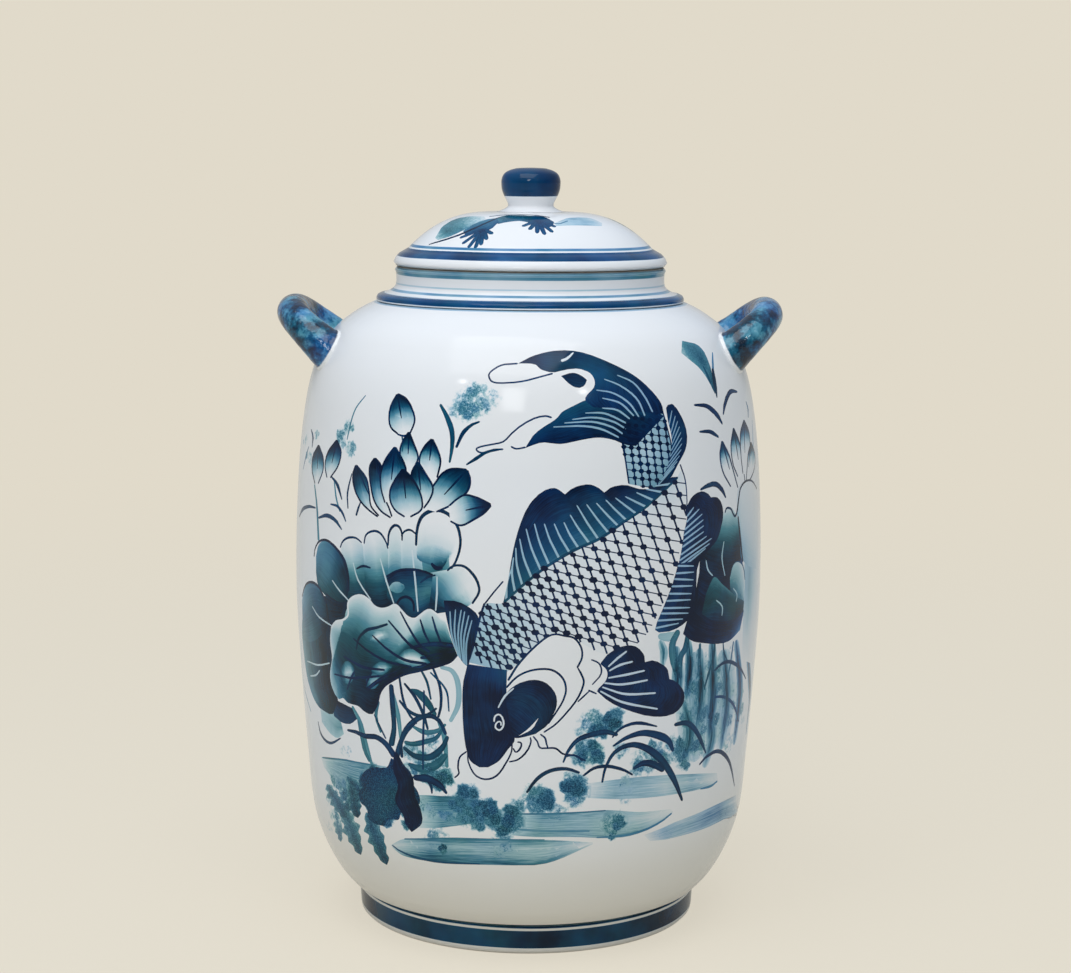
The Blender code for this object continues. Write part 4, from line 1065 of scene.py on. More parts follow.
    def dot(self, spot, size, lean):
        """A drop of ink, longer than wide."""
        centre = self.place(spot)
        corners = []
        for turn in turns(2.0 * pi, DROP_CORNERS)[:-1]:
            x, y = DROP_LONG * size * cos(turn), DROP_SHORT * size * sin(turn)
            leant = Vector((x * cos(lean) - y * sin(lean), x * sin(lean) + y * cos(lean)))
            corners.append((self.add(centre + leant * VIEW_UNIT), 1.0, 0.0, 0.0, 0.0, 0.0))
        self.grid((corners[:3], corners[:2:-1]), LAY)


def covering(middles, spots, patches):
    """For each middle of a small face, the painted patches over it, in the order of painting."""
    bins = {}
    for number, (x, y) in enumerate(middles):
        bins.setdefault((floor(x / CELL), floor(y / CELL)), []).append((number, x, y))
    covers = [[] for _ in middles]
    for number, patch in enumerate(patches):
        (ax, ay), (bx, by), (cx, cy) = (spots[i] for i in patch)
        for i in range(floor(min(ax, bx, cx) / CELL), floor(max(ax, bx, cx) / CELL) + 1):
            for j in range(floor(min(ay, by, cy) / CELL), floor(max(ay, by, cy) / CELL) + 1):
                for face, x, y in bins.get((i, j), ()):
                    if ((bx - ax) * (y - ay) >= (by - ay) * (x - ax) and (cx - bx) * (y - by) >= (cy - by) * (x - bx)
                            and (ax - cx) * (y - cy) >= (ay - cy) * (x - cx)):
                        covers[face].append(number)
    return covers


def slopes(spots, corners):
    """Each tone of a patch as (value at nought, change over x, change over y)."""
    (ax, ay), (bx, by), (cx, cy) = spots
    whole = (bx - ax) * (cy - ay) - (cx - ax) * (by - ay)
    planes = []
    for a, b, c in zip(*corners):
        over_x = ((b - a) * (cy - ay) - (c - a) * (by - ay)) / whole
        over_y = ((c - a) * (bx - ax) - (b - a) * (cx - ax)) / whole
        planes.append((a - over_x * ax - over_y * ay, over_x, over_y))
    return planes


def flat_sheet(skin, name, columns, step, hidden_step, work=None):
    """Flat triangles over a whole skin, with the painted shapes cut into them.

    The steps are the ones along the profile, where it is seen and where not. Where they are
    coarse, so is the turn.
    """

    def step_at(length):
        return step if skin.reach[0] - step < length < skin.reach[1] else hidden_step

    half = pi * skin.ring
    spots = []
    length = 0.0
    lengths = []
    while length < skin.total - 1e-9:
        lengths.append(length)
        length += step_at(length)
    lengths.append(skin.total)
    for length in lengths:
        count = columns if step_at(length) < COARSE_STEP else columns // 2
        for i in range(count + 1):
            spots.append(Vector((-half + 2.0 * half * i / count, length)))
    patches, planes, sides = [], [], {}
    if work:
        start = len(spots)
        spots += work.points
        for patch, shape, way, corners in work.patches:
            a, b, c = (i + start for i in patch)
            patches.append((a, b, c))
            planes.append((way, slopes([spots[i] / MM for i in (a, b, c)], corners)))
            for side in ((a, b), (b, c), (c, a)):
                key = (shape, min(side), max(side))
                sides[key] = sides.get(key, 0) + 1
    scaled = [spot / MM for spot in spots]
    outlines = sorted({(a, b) for (_, a, b), count in sides.items() if count == 1})
    places, _, faces, _, _, _ = delaunay_2d_cdt(scaled, outlines, [], 0, CUT_TOLERANCE, False)
    mesh = bpy.data.meshes.new(name)
    mesh.from_pydata([(p.x * MM / skin.ring, p.y * MM / skin.total, 0.0) for p in places], [], faces)
    middles = [(sum(places[i].x for i in face) / 3.0, sum(places[i].y for i in face) / 3.0) for face in faces]
    paint, brush, chart = [], [], []
    for face, cover in zip(faces, covering(middles, scaled, patches)):
        for index in face:
            x, y = places[index]
            ink, under, winner = 0.0, 0.0, None
            for number in cover:
                way, plane = planes[number]
                base, over_x, over_y = plane[0]
                value = max(0.0, min(1.0, base + over_x * x + over_y * y))
                if way == LIFT:
                    ink = min(ink, value)
                elif way == OVER or value > ink:
                    if plane[2][0] < SPONGED:
                        under = 0.0
                    elif not winner or winner[2][0] < SPONGED:
                        under = ink
                    ink, winner = value, plane
            if winner:
                teal, stipple, along, across = (base + over_x * x + over_y * y for base, over_x, over_y in winner[1:])
                paint += (ink, teal, stipple)
                brush += (along, across, under)
            else:
                paint += (ink, 0.0, 0.0)
                brush += (0.0, 0.0, 0.0)
            chart += (x * MM / (2.0 * half) + 0.5, y * MM / skin.total)
    for title, values in (("paint", paint), ("brush", brush)):
        mesh.attributes.new(title, "FLOAT_VECTOR", "CORNER").data.foreach_set("vector", values)
    mesh.attributes.new("station", "FLOAT", "POINT").data.foreach_set("value", [p.y * MM for p in places])
    mesh.uv_layers.new(name="OFBake").uv.foreach_set("vector", chart)
    return placed(name, mesh)


def placed(name, data):
    """A new object in the scene."""
    thing = bpy.data.objects.new(name, data)
    bpy.context.scene.collection.objects.link(thing)
    return thing


def guide_line(name, spots, radii=()):
    """A bare curve through the spots, with a radius at each if given."""
    path = bpy.data.curves.new(name, "CURVE")
    path.dimensions = "3D"
    path.twist_mode = "MINIMUM"
    spline = path.splines.new("POLY")
    spline.points.add(len(spots) - 1)
    for point, spot in zip(spline.points, spots):
        point.co = (*spot, 1.0)
    for point, radius in zip(spline.points, radii):
        point.radius = radius
    return placed(name, path)


def feed(tree, made, inputs):
    """Gives a node its inputs, which are values or sockets of other nodes."""
    for key, value in inputs.items():
        if isinstance(value, bpy.types.NodeSocket):
            tree.links.new(value, made.inputs[key])
        else:
            made.inputs[key].default_value = value


def node(tree, kind, inputs=None, **settings):
    """A node with its settings and its inputs."""
    made = tree.nodes.new(kind)
    for key, value in settings.items():
        setattr(made, key, value)
    feed(tree, made, inputs or {})
    return made


def new_group(name, *inputs):
    """A geometry node group with the inputs that all of them have and its own, and its input sockets."""
    tree = bpy.data.node_groups.new(name, "GeometryNodeTree")
    for title, kind in (("Geometry", "Geometry"), *inputs, ("Material", "Material")):
        tree.interface.new_socket(title, in_out="INPUT", socket_type="NodeSocket" + kind)
    tree.interface.new_socket("Geometry", in_out="OUTPUT", socket_type="NodeSocketGeometry")
    return tree, tree.nodes.new("NodeGroupInput").outputs


def closed_group(tree, given, skin):
    """Ends a geometry node group: the skin made smooth and real, with its material."""
    smooth = node(tree, "GeometryNodeSetShadeSmooth", {"Geometry": skin.outputs[0]})
    whole = node(tree, "GeometryNodeRealizeInstances", {"Geometry": smooth.outputs[0]})
    finish = node(tree, "GeometryNodeSetMaterial", {"Geometry": whole.outputs[0], "Material": given["Material"]})
    tree.links.new(finish.outputs[0], tree.nodes.new("NodeGroupOutput").inputs[0])
    return tree


def wheel_tree():
    """Wraps a flat sheet round the jar's axis along a profile curve."""
    if "wrap_on_wheel" in bpy.data.node_groups:
        return bpy.data.node_groups["wrap_on_wheel"]
    tree, given = new_group("wrap_on_wheel", ("Profile", "Object"), ("Weld", "Float"))
    profile = node(tree, "GeometryNodeObjectInfo", {"Object": given["Profile"]})
    flat = node(tree, "ShaderNodeSeparateXYZ", {"Vector": tree.nodes.new("GeometryNodeInputPosition").outputs[0]})
    on_curve = node(tree, "GeometryNodeSampleCurve",
                    {"Curves": profile.outputs["Geometry"], "Factor": flat.outputs["Y"]}, mode="FACTOR",
                    use_all_curves=True)
    spot = node(tree, "ShaderNodeSeparateXYZ", {"Vector": on_curve.outputs["Position"]})
    radius, turn = spot.outputs["X"], flat.outputs["X"]
    place = node(tree, "ShaderNodeCombineXYZ",
                 {"X": product(tree, radius, math(tree, "SINE", turn)),
                  "Y": product(tree, radius, math(tree, "COSINE", turn), -1.0), "Z": spot.outputs["Z"]})
    wrapped = node(tree, "GeometryNodeSetPosition", {"Geometry": given["Geometry"], "Position": place.outputs[0]})
    return closed_group(tree, given, node(tree, "GeometryNodeMergeByDistance",
                                          {"Geometry": wrapped.outputs[0], "Distance": given["Weld"]}))


def roll_tree():
    """Rolls clay round a path whose points carry the roll's radius."""
    if "roll_of_clay" in bpy.data.node_groups:
        return bpy.data.node_groups["roll_of_clay"]
    tree, given = new_group("roll_of_clay", ("Path", "Object"), ("Sides", "Int"))
    path = node(tree, "GeometryNodeObjectInfo", {"Object": given["Path"]})
    ring = node(tree, "GeometryNodeCurvePrimitiveCircle", {"Resolution": given["Sides"], "Radius": 1.0})
    rolled = node(tree, "GeometryNodeCurveToMesh",
                  {"Curve": path.outputs["Geometry"], "Profile Curve": ring.outputs["Curve"],
                   "Scale": tree.nodes.new("GeometryNodeInputRadius").outputs[0], "Fill Caps": True})
    both = node(tree, "GeometryNodeJoinGeometry", {"Geometry": rolled.outputs[0]})
    tree.links.new(given["Geometry"], both.inputs[0])
    return closed_group(tree, given, both)


def through_nodes(flat, tree, guide, values, name):
    """The plain mesh object that a node tree makes of an object and a guide, which both go."""
    modifier = flat.modifiers.new(tree.name, "NODES")
    modifier.node_group = tree
    for item in tree.interface.items_tree:
        if item.in_out == "INPUT" and item.name in values:
            modifier[item.identifier] = values[item.name]
    bpy.context.view_layer.update()
    depsgraph = bpy.context.evaluated_depsgraph_get()
    mesh = bpy.data.meshes.new_from_object(flat.evaluated_get(depsgraph), preserve_all_data_layers=True,
                                           depsgraph=depsgraph)
    flat.modifiers.remove(modifier)
    for spent in (flat, guide):
        bpy.data.objects.remove(spent, do_unlink=True)
    mesh.name = name
    return placed(name, mesh)


def turned(skin, name, material, columns, step, work=None, hidden_step=None):
    """A skin as one closed piece, with normals taken from its profile."""
    guide = guide_line(name + "_profile", [(radius, 0.0, height) for radius, height in skin.profile])
    sheet = flat_sheet(skin, name + "_sheet", columns, step, hidden_step or step, work)
    piece = through_nodes(sheet, wheel_tree(), guide, {"Profile": guide, "Weld": WELD, "Material": material}, name)
    mesh = piece.data
    stations = [0.0] * len(mesh.vertices)
    mesh.attributes["station"].data.foreach_get("value", stations)
    normals = []
    for vertex, station in zip(mesh.vertices, stations):
        radius, _, run, rise = skin.at(max(1e-7, min(skin.total - 1e-7, station)))
        if radius < CENTRE_RADIUS:
            normals.append((0.0, 0.0, -1.0 if run > 0.0 else 1.0))
            continue
        turn = atan2(vertex.co.x, -vertex.co.y)
        normals.append((rise * sin(turn), -rise * cos(turn), -run))
    mesh.normals_split_custom_set_from_vertices(normals)
    mesh.attributes.remove(mesh.attributes["station"])
    return piece


def finished(piece, body, solid):
    """Says what a piece rides on, and hides the solid that it stands for."""
    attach(piece, body)
    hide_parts(solid)


def smooth_profile(knots, step):
    """Profile points along a smooth curve, with corners where a knot is given twice."""
    return [(p.x, p.y) for p in curve(knots, step)]


def body_skin():
    """The thrown body: underside, outside, shoulder, mouth and inside."""
    outside = [(BASE_RADIUS, BODY_BASE)]
    for height, swell in LOWER_WALL_SHARES:
        outside.append((BASE_RADIUS + swell * (BODY_RADIUS - BASE_RADIUS), BODY_BASE + height * BODY_HEIGHT))
    for height, swell in UPPER_WALL_SHARES:
        outside.append((SHOULDER_RADIUS + swell * (BODY_RADIUS - SHOULDER_RADIUS),
                        BODY_BASE + height * BODY_HEIGHT))
    top = BODY_BASE + BODY_HEIGHT
    outside.append((SHOULDER_RADIUS, top))
    outside = [(min(radius, BODY_RADIUS), height) for radius, height in smooth_profile(outside, 2.0 * MM)]
    inside = []
    for i in range(len(outside) - 2, 0, -1):
        (r0, z0), (r1, z1) = outside[i - 1], outside[i + 1]
        run = hypot(r1 - r0, z1 - z0)
        radius = outside[i][0] - WALL * (z1 - z0) / run
        height = outside[i][1] + WALL * (r1 - r0) / run
        if FLOOR + FLOOR_CLEAR < height < top - WALL and radius > MOUTH_RADIUS:
            inside.append((radius, height))
    profile = [(0.0, BODY_BASE), (UNDERSIDE_RADIUS, BODY_BASE)] + outside
    profile += [(MOUTH_RADIUS + MOUTH_EASE, top), (MOUTH_RADIUS, top - MOUTH_EASE),
                (MOUTH_RADIUS, top - WALL + 2.5 * MM), (MOUTH_RADIUS + 2.0 * MM, top - WALL + 0.4 * MM)]
    profile += inside
    profile += [(inside[-1][0] - FLOOR_CORNER, FLOOR + FLOOR_DISH), (inside[-1][0] - 2.0 * FLOOR_CORNER, FLOOR),
                (0.0, FLOOR)]
    return Skin(profile, BODY_RADIUS, (2, 1 + len(outside)))


def collar_skin():
    """The neck: spreading foot, waist and rounded rim."""
    top = COLLAR_BASE + COLLAR_HEIGHT
    outside = [(NECK_RADIUS + swell * COLLAR_SPREAD, COLLAR_BASE - SEAM_CLOSED + height * COLLAR_HEIGHT)
               for height, swell in COLLAR_SHARES]
    outside = smooth_profile(outside, 0.6 * MM)
    rim = []
    middle = (NECK_RADIUS + MOUTH_RADIUS) / 2.0
    for turn in turns(pi, 6):
        rim.append((middle + (NECK_RADIUS - MOUTH_RADIUS) / 2.0 * cos(turn) * (1.0 + 0.12 * sin(turn)),
                    top - RIM_ROUND + RIM_ROUND * sin(turn) ** 0.6))
    profile = [(MOUTH_RADIUS + NECK_EASE, COLLAR_BASE)] + outside + rim
    profile += [(MOUTH_RADIUS, top - 4.0 * MM), (MOUTH_RADIUS, COLLAR_BASE + 4.0 * MM),
                (MOUTH_RADIUS, COLLAR_BASE + NECK_EASE), profile[0]]
    return Skin(profile, NECK_RADIUS, (1, len(outside)))


def foot_skin():
    """The foot ring, splayed a little and eased where it stands."""
    inner = FOOT_RADIUS - FOOT_WALL
    profile = [(inner + EDGE_EASE, FOOT_TOP), (inner, FOOT_TOP - EDGE_EASE), (inner, FOOT_EDGE)]
    for turn in turns(pi / 2.0, 5)[1:]:
        profile.append((inner + FOOT_EDGE * (1.0 - cos(turn)), FOOT_EDGE * (1.0 - sin(turn))))
    for turn in turns(pi / 2.0, 5):
        profile.append((FOOT_RADIUS - FOOT_EDGE * (1.0 - sin(turn)), FOOT_EDGE * (1.0 - cos(turn))))
    first = len(profile) - 1
    for i in range(1, 11):
        share = i / 10
        profile.append((FOOT_RADIUS + (FOOT_TOP_RADIUS - FOOT_RADIUS) * share,
                        FOOT_EDGE + (FOOT_TOP + SEAM_CLOSED - FOOT_EDGE) * share))
    profile += [(FOOT_TOP_RADIUS - EDGE_EASE, FOOT_TOP + SEAM_CLOSED), profile[0]]
    return Skin(profile, FOOT_RADIUS, (first, first + 10))


def dome_skin():
    """The lid: seat, rolled edge, ledge, dome, and the hollow underneath."""
    ledge = LID_SEAT + LID_EDGE_HEIGHT
    dome_radius = LID_RADIUS - LID_LEDGE
    top = ledge + DOME_RISE
    outside = [(LID_RADIUS - width * LID_LEDGE, LID_SEAT + height * LID_EDGE_HEIGHT)
               for height, width in LID_EDGE_SHARES]
    outside.append((dome_radius + 0.2 * MM, ledge))
    flat = KNOB_SHARES[0][1]
    for i in range(1, 25):
        share = 1.0 - (i / 24) ** 1.3
        outside.append((flat + share * (dome_radius - flat), ledge + DOME_RISE * (1.0 - share ** DOME_POWER)))
    outside.append((flat - 6.0 * MM, top))
    outside = smooth_profile(outside, 1.0 * MM)
    rise = top - LID_WALL - LID_SEAT
    hollow = []
    for i in range(25):
        share = (i / 24) ** 0.7
        hollow.append((HOLLOW_RADIUS * share, LID_SEAT + rise * (1.0 - share ** HOLLOW_POWER)))
    profile = hollow + [(HOLLOW_RADIUS + EDGE_EASE, LID_SEAT), (LID_RADIUS - 1.6 * MM, LID_SEAT)] + outside
    profile.append((0.0, top))
    return Skin(profile, LID_RADIUS, (len(hollow) + 2, len(hollow) + 1 + len(outside)))


def locating_skin():
    """The bare ring under the lid."""
    top = LID_SEAT + SEAM_CLOSED / 2.0
    low = LID_SEAT - SEAM_CLOSED - LOCATING_DEPTH
    straight = low + 2.0 * LOCATING_ROUND
    profile = [(HOLLOW_RADIUS + RING_EASE, top), (HOLLOW_RADIUS, top - EDGE_EASE), (HOLLOW_RADIUS, straight)]
    for centre, start in ((HOLLOW_RADIUS + LOCATING_ROUND, pi), (LOCATING_RADIUS - LOCATING_ROUND, 1.5 * pi)):
        for turn in turns(pi / 2.0, 5, start):
            profile.append((centre + LOCATING_ROUND * cos(turn), low + LOCATING_ROUND * (1.0 + sin(turn))))
    first = len(profile) - 1
    profile += [(LOCATING_RADIUS, straight), (LOCATING_RADIUS, top - EDGE_EASE), (LOCATING_RADIUS - RING_EASE, top),
                profile[0]]
    return Skin(profile, LOCATING_RADIUS, (first, first + 2))


def knob_skin():
    """The knob: spreading foot, stem and head."""
    base, whole = KNOB_BASE - SEAM_CLOSED, KNOB_HEIGHT + SEAM_CLOSED
    knots = [(radius, base + height * whole) for height, radius in KNOB_SHARES]
    outside = smooth_profile(knots[:-1], 0.5 * MM)
    edge, shoulder = outside[-1]
    crown = []
    for i in range(1, 7):
        share = 1.0 - i / 6
        crown.append((edge * share, shoulder + (knots[-1][1] - shoulder) * (1.0 - share ** 2)))
    profile = [(0.0, base), (KNOB_SHARES[0][1] - 1.0 * MM, base)] + outside + crown
    widest = max(radius for _, radius in KNOB_SHARES[1:])
    return Skin(profile, widest, (2, 1 + len(outside)))


def handle_path():
    """The middle of a handle's roll from root to root: how far out, and how far along the shoulder."""
    half_spread = HANDLE_SPREAD / 2.0
    stations = []
    for i in range(HANDLE_BURIED_STEPS):
        stations.append((-HANDLE_BURIED * (1.0 - i / HANDLE_BURIED_STEPS), -half_spread))
    for turn in turns(pi, HANDLE_STEPS):
        out = sin(turn) ** (2.0 / HANDLE_SQUARENESS) * HANDLE_REACH
        across = abs(cos(turn)) ** (2.0 / HANDLE_SQUARENESS) * half_spread
        stations.append((out, -across if cos(turn) > 0.0 else across))
    for i in range(1, HANDLE_BURIED_STEPS + 1):
        stations.append((-HANDLE_BURIED * i / HANDLE_BURIED_STEPS, half_spread))
    return curve(stations, HANDLE_PATH_STEP)


def handle_piece(name, side, seed, body, material):
    """One loop handle, its roots luted to the shoulder. Side is +1 or -1 along X."""
    draw = random.Random(seed)
    swell = 0.0
    spots, radii = [], []
    for out, along in handle_path():
        nearness = 1.0 - max(out, 0.0) / HANDLE_REACH
        swell = HANDLE_KEPT * swell + HANDLE_FRESH * (draw.random() - 0.5) * HANDLE_THINNED * MM
        spots.append((side * (HANDLE_ROOT_X + out * cos(HANDLE_RISE)), along, HANDLE_ROOT_Z + out * sin(HANDLE_RISE)))
        radii.append(HANDLE_ROLL + HANDLE_FLARE * nearness ** 2 + min(swell, 0.0))
    guide = guide_line(name + "_path", spots, radii)
    blank = placed(name + "_host", bpy.data.meshes.new(name + "_host"))
    piece = through_nodes(blank, roll_tree(), guide, {"Path": guide, "Sides": HANDLE_SIDES, "Material": material}, name)
    heights = []
    for vertex in piece.data.vertices:
        radius = hypot(vertex.co.x, vertex.co.y)
        wall, length = body.outside(vertex.co.z)
        _, _, run, rise = body.at(length)
        away = (radius - wall) * rise
        if away < -HANDLE_SUNK:
            move = -HANDLE_SUNK - away
            vertex.co.x += vertex.co.x / radius * rise * move
            vertex.co.y += vertex.co.y / radius * rise * move
            vertex.co.z -= run * move
        elif away < LUTING_REACH:
            vertex.co += vertex.normal * (LUTING * (1.0 - max(away, 0.0) / LUTING_REACH) ** 2)
        heights.append(away / MM)
    piece.data.attributes.new("lift", "FLOAT", "POINT").data.foreach_set("value", heights)
    piece.data.update()
    return piece


def paint_carp(work):
    """A carp diving towards the lower left, its tail above."""
    work.wash(TAIL_UPPER_RIM, TAIL_UPPER_HEM, ((1.0, 0.9), (0.85, 0.8, 0.9), (0.95, 0.8, 0.7), (1.0, 0.9)),
              ((0.1,), (0.5,), (0.3,), (0.0,)))
    work.wash(TAIL_LOWER_RIM, TAIL_LOWER_HEM, ((0.95, 1.0), (0.75, 1.0), (0.7, 0.95), (0.9, 0.95)),
              ((0.1, 0.0), (0.6, 0.1), (0.6, 0.1), (0.2, 0.0)))
    work.wash(TAIL_EYE[:5], (TAIL_EYE[0],) + tuple(reversed(TAIL_EYE[4:])), ((0.95,),), ((0.2,),))
    alike(work, TAIL_RAYS, (0.5, 1.2, 1.5, 1.0), 0.28, LIFT)
    # Painted highlight: a near-white dash lifted out of the tail's ink.
    work.stroke(TAIL_GLINT, (2.2, 2.0, 0.8), (0.05,), way=LIFT)
    alike(work, TAIL_TIP_LINES, (1.3, 1.1, 1.3), 0.85)
    work.wash(STEM_LEFT, STEM_RIGHT, ((0.3, 0.22, 0.3), (0.22, 0.16, 0.3), (0.3, 0.3, 0.4)), ((0.5,),))
    net(work, STEM_SCALE_CORNER, (7.4, 0.8), (0.9, 7.6), range(9), range(11), 0.0, STEM_LEFT, STEM_RIGHT, 4.6, 1.6)
    work.stroke(STEM_LEFT, (1.2,), (0.9,))
    work.stroke(STEM_RIGHT, (1.0,), (0.9,))
    work.wash(SMALL_FIN_RIM, SMALL_FIN_ROOT, ((1.0, 1.0), (0.95, 0.7), (0.9, 0.8), (1.0, 1.0)), ((0.2,),))
    rays(work, SMALL_FIN_ROOT, SMALL_FIN_RIM, 11, (0.22, 0.95), (0.05, 0.62), 0.72, (0.5, 0.9, 0.4), 0.3)
    fish_body(work)
    fish_head(work)


def rays(work, root, rim, count, from_shares, to_shares, reach, widths, ink, bend=0.0):
    """Thin lines left bare in a fin, from its root towards its rim."""
    root_line, rim_line = curve(root, RAY_STEP), curve(rim, RAY_STEP)
    for i in range(count):
        share = i / (count - 1)
        a = from_shares[0] + (from_shares[1] - from_shares[0]) * share
        b = to_shares[0] + (to_shares[1] - to_shares[0]) * share
        start = root_line[round(a * (len(root_line) - 1))]
        end = start.lerp(rim_line[round(b * (len(rim_line) - 1))], reach)
        middle = start.lerp(end, 0.5) + Vector((end.y - start.y, start.x - end.x)) * bend
        work.stroke((tuple(start), tuple(middle), tuple(end)), widths, (ink,), way=LIFT)


def inside_shape(spot, outline):
    """Whether a spot lies inside a closed outline."""
    inside = False
    for a, b in zip(outline, outline[1:] + outline[:1]):
        if (a.y > spot.y) != (b.y > spot.y):
            if spot.x < a.x + (b.x - a.x) * (spot.y - a.y) / (b.y - a.y):
                inside = not inside
    return inside


def net(work, corner, over, down, columns, rows, growth, side_a, side_b, dot, line):
    """Scales: two slanting families of lines with a drop at each crossing, kept inside two sides."""
    outline = curve(side_a, NET_STEP) + curve(side_b, NET_STEP)[::-1]

    def knot(i, j):
        grow = 1.0 + growth * i
        return Vector((corner[0] + (over[0] * i + down[0] * j) * grow, corner[1] + over[1] * i + down[1] * j * grow))

    def last_inside(inner, outer):
        near, far = 0.0, 1.0
        for _ in range(NET_ROUNDS):
            middle = (near + far) / 2.0
            if inside_shape(inner.lerp(outer, middle), outline):
                near = middle
            else:
                far = middle
        return inner.lerp(outer, near)

    lean = atan2(-over[1], over[0])
    for i in columns:
        for j in rows:
            spot = knot(i, j)
            here = inside_shape(spot, outline)
            for step, width in (((1, 0), line * 0.6), ((0, 1), line)):
                end = knot(i + step[0], j + step[1])
                there = inside_shape(end, outline)
                if not here and not there:
                    continue
                a, b = (spot, end) if here else (end, spot)
                if not (here and there):
                    b = last_inside(a, b)
                if (b - a).length > SHORTEST_THREAD:
                    work.thread(a, b, width)
            if here:
                work.dot(spot, dot * work.draw.uniform(0.8, 1.2), lean)


def fish_body(work):
    """Dorsal fin, scale net, and the fins behind the body and beside it."""
    work.wash(DORSAL_RIM, DORSAL_ROOT,
              ((0.8, 0.7), (0.9, 0.75, 0.6), (1.0, 0.85, 0.6), (1.0, 0.8, 0.6), (1.0, 0.8, 0.7), (1.0, 0.9)),
              ((0.5, 0.4), (0.15, 0.4, 0.6), (0.0, 0.3, 0.6), (0.1, 0.3, 0.6), (0.1, 0.3), (0.0, 0.2)))
    root_line, band_line = curve(DORSAL_ROOT, RAY_STEP), curve(DORSAL_BAND, RAY_STEP)
    for i in range(19):
        share = i / 18
        start = root_line[round((0.02 + 0.93 * share) * (len(root_line) - 1))]
        end = band_line[round((0.02 + 0.98 * share) * (len(band_line) - 1))]
        bow = Vector((-2.5, -1.0)) * (1.0 - share)
        work.stroke((tuple(start), tuple(start.lerp(end, 0.5) + bow), tuple(end)), (1.7, 1.5, 0.6),
                    (0.24,), way=LIFT)
    work.stroke(DORSAL_ROOT, (2.0, 2.4, 2.0), (0.75,), (0.6,))
    shade = ((0.14, 0.04), (0.06, 0.0), (0.04, 0.0), (0.05, 0.0), (0.1, 0.02), (0.2, 0.08), (0.26, 0.16))
    work.wash(BACK_LINE, BELLY_LINE, shade, ((0.45,),))
    net(work, SCALE_CORNER, (9.7, 1.9), (3.4, 9.9), SCALE_COLUMNS, SCALE_ROWS, 0.0125, BACK_LINE, BELLY_LINE,
        6.2, 1.9)
    strokes(work, BACK_EDGES)
    work.wash(FAR_FIN_RIM, FAR_FIN_ROOT, ((1.0, 0.9), (1.0, 0.85), (1.0, 0.95, 0.85), (1.0, 0.9)), ((0.0,), (0.1,)))
    rays(work, FAR_FIN_ROOT, FAR_FIN_TIPS, 10, (0.12, 0.98), (0.0, 1.0), 1.0, (1.3, 1.5, 0.5), 0.25)
    work.wash(HIND_FIN_RIM, HIND_FIN_ROOT, ((0.95, 0.9), (1.0, 0.9), (1.0, 0.9), (0.8, 0.7)), ((0.0,), (0.2,)))
    rays(work, HIND_FIN_ROOT, HIND_FIN_TIPS, 10, (0.02, 0.97), (0.0, 1.0), 0.96, (1.4, 1.5, 0.5), 0.25)
    work.wash(LEFT_FIN_RIM, LEFT_FIN_ROOT, ((1.0, 1.0), (1.0, 0.9), (0.95, 0.85), (1.0, 0.9)), ((0.1,), (0.4,)))
    rays(work, LEFT_FIN_ROOT[::-1], LEFT_FIN_TIPS, 6, (0.02, 0.2), (0.0, 1.0), 1.0, (1.0, 1.4, 0.6), 0.3, 0.06)


def fish_head(work):
    """Head, cheek, gill lobes, eye, mouth and barbels, and the fin on the near side."""
    blank = (0.0,)
    work.wash(GILL_RIM[:9], GILL_FRONT_UPPER, (blank,), way=LIFT)
    work.wash(GILL_RIM[8:], GILL_FRONT_LOWER, (blank,), way=LIFT)
    work.wash(HEAD_BACK, HEAD_FRONT, ((0.9, 0.75), (1.0, 1.0), (0.95, 1.0), (1.0, 1.0), (1.0, 1.0)),
              ((0.0, 0.2), (0.3, 0.0), (0.35, 0.1), (0.1, 0.0)))
    work.wash(CHEEK_TOP, CHEEK_LOW, ((1.0, 1.0), (1.0, 0.9, 1.0), (1.0, 0.85, 1.0), (1.0, 0.95)),
              ((0.0,), (0.3,), (0.4,)))
    work.wash(CHEEK_SLIT, CHEEK_SLIT_LOW, (blank,), way=LIFT)
    work.stroke(CHEEK_LIGHT, (0.8, 1.6, 0.8), (0.1,), way=LIFT)
    work.stroke(GILL_RIM, (1.8, 1.4, 1.6, 1.2), (0.92,), (0.1,))
    work.stroke(GILL_INNER, (1.4, 1.7, 1.2), (0.92,), (0.1,))
    work.stroke(EYE_SPIRAL, (1.1, 1.3, 0.9), (0.05,), way=LIFT)
    alike(work, MOUTH_LINES, (1.0, 1.5, 1.0), 0.95)
    work.wash(SIDE_FIN_RIM, SIDE_FIN_ROOT, ((1.0, 0.9),) * 4)
    alike(work, SIDE_FIN_RAYS, (1.0, 1.9, 1.2), 0.12, LIFT)
    alike(work, SIDE_FIN_LINES, (1.0, 1.3, 0.8), 0.9)


def strokes(work, table):
    """Plain brush strokes: points, widths, ink, teal."""
    for spine, widths, ink, teal in table:
        work.stroke(spine, widths, (ink,), (teal,))


def alike(work, spines, widths, ink, way=LAY):
    """Brush strokes of one width and one ink."""
    for spine in spines:
        work.stroke(spine, widths, (ink,), way=way)


def washes(work, table, way=LAY):
    """Filled shapes: two sides, ink, teal."""
    for side_a, side_b, ink, teal in table:
        work.wash(side_a, side_b, ink, teal, way=way)


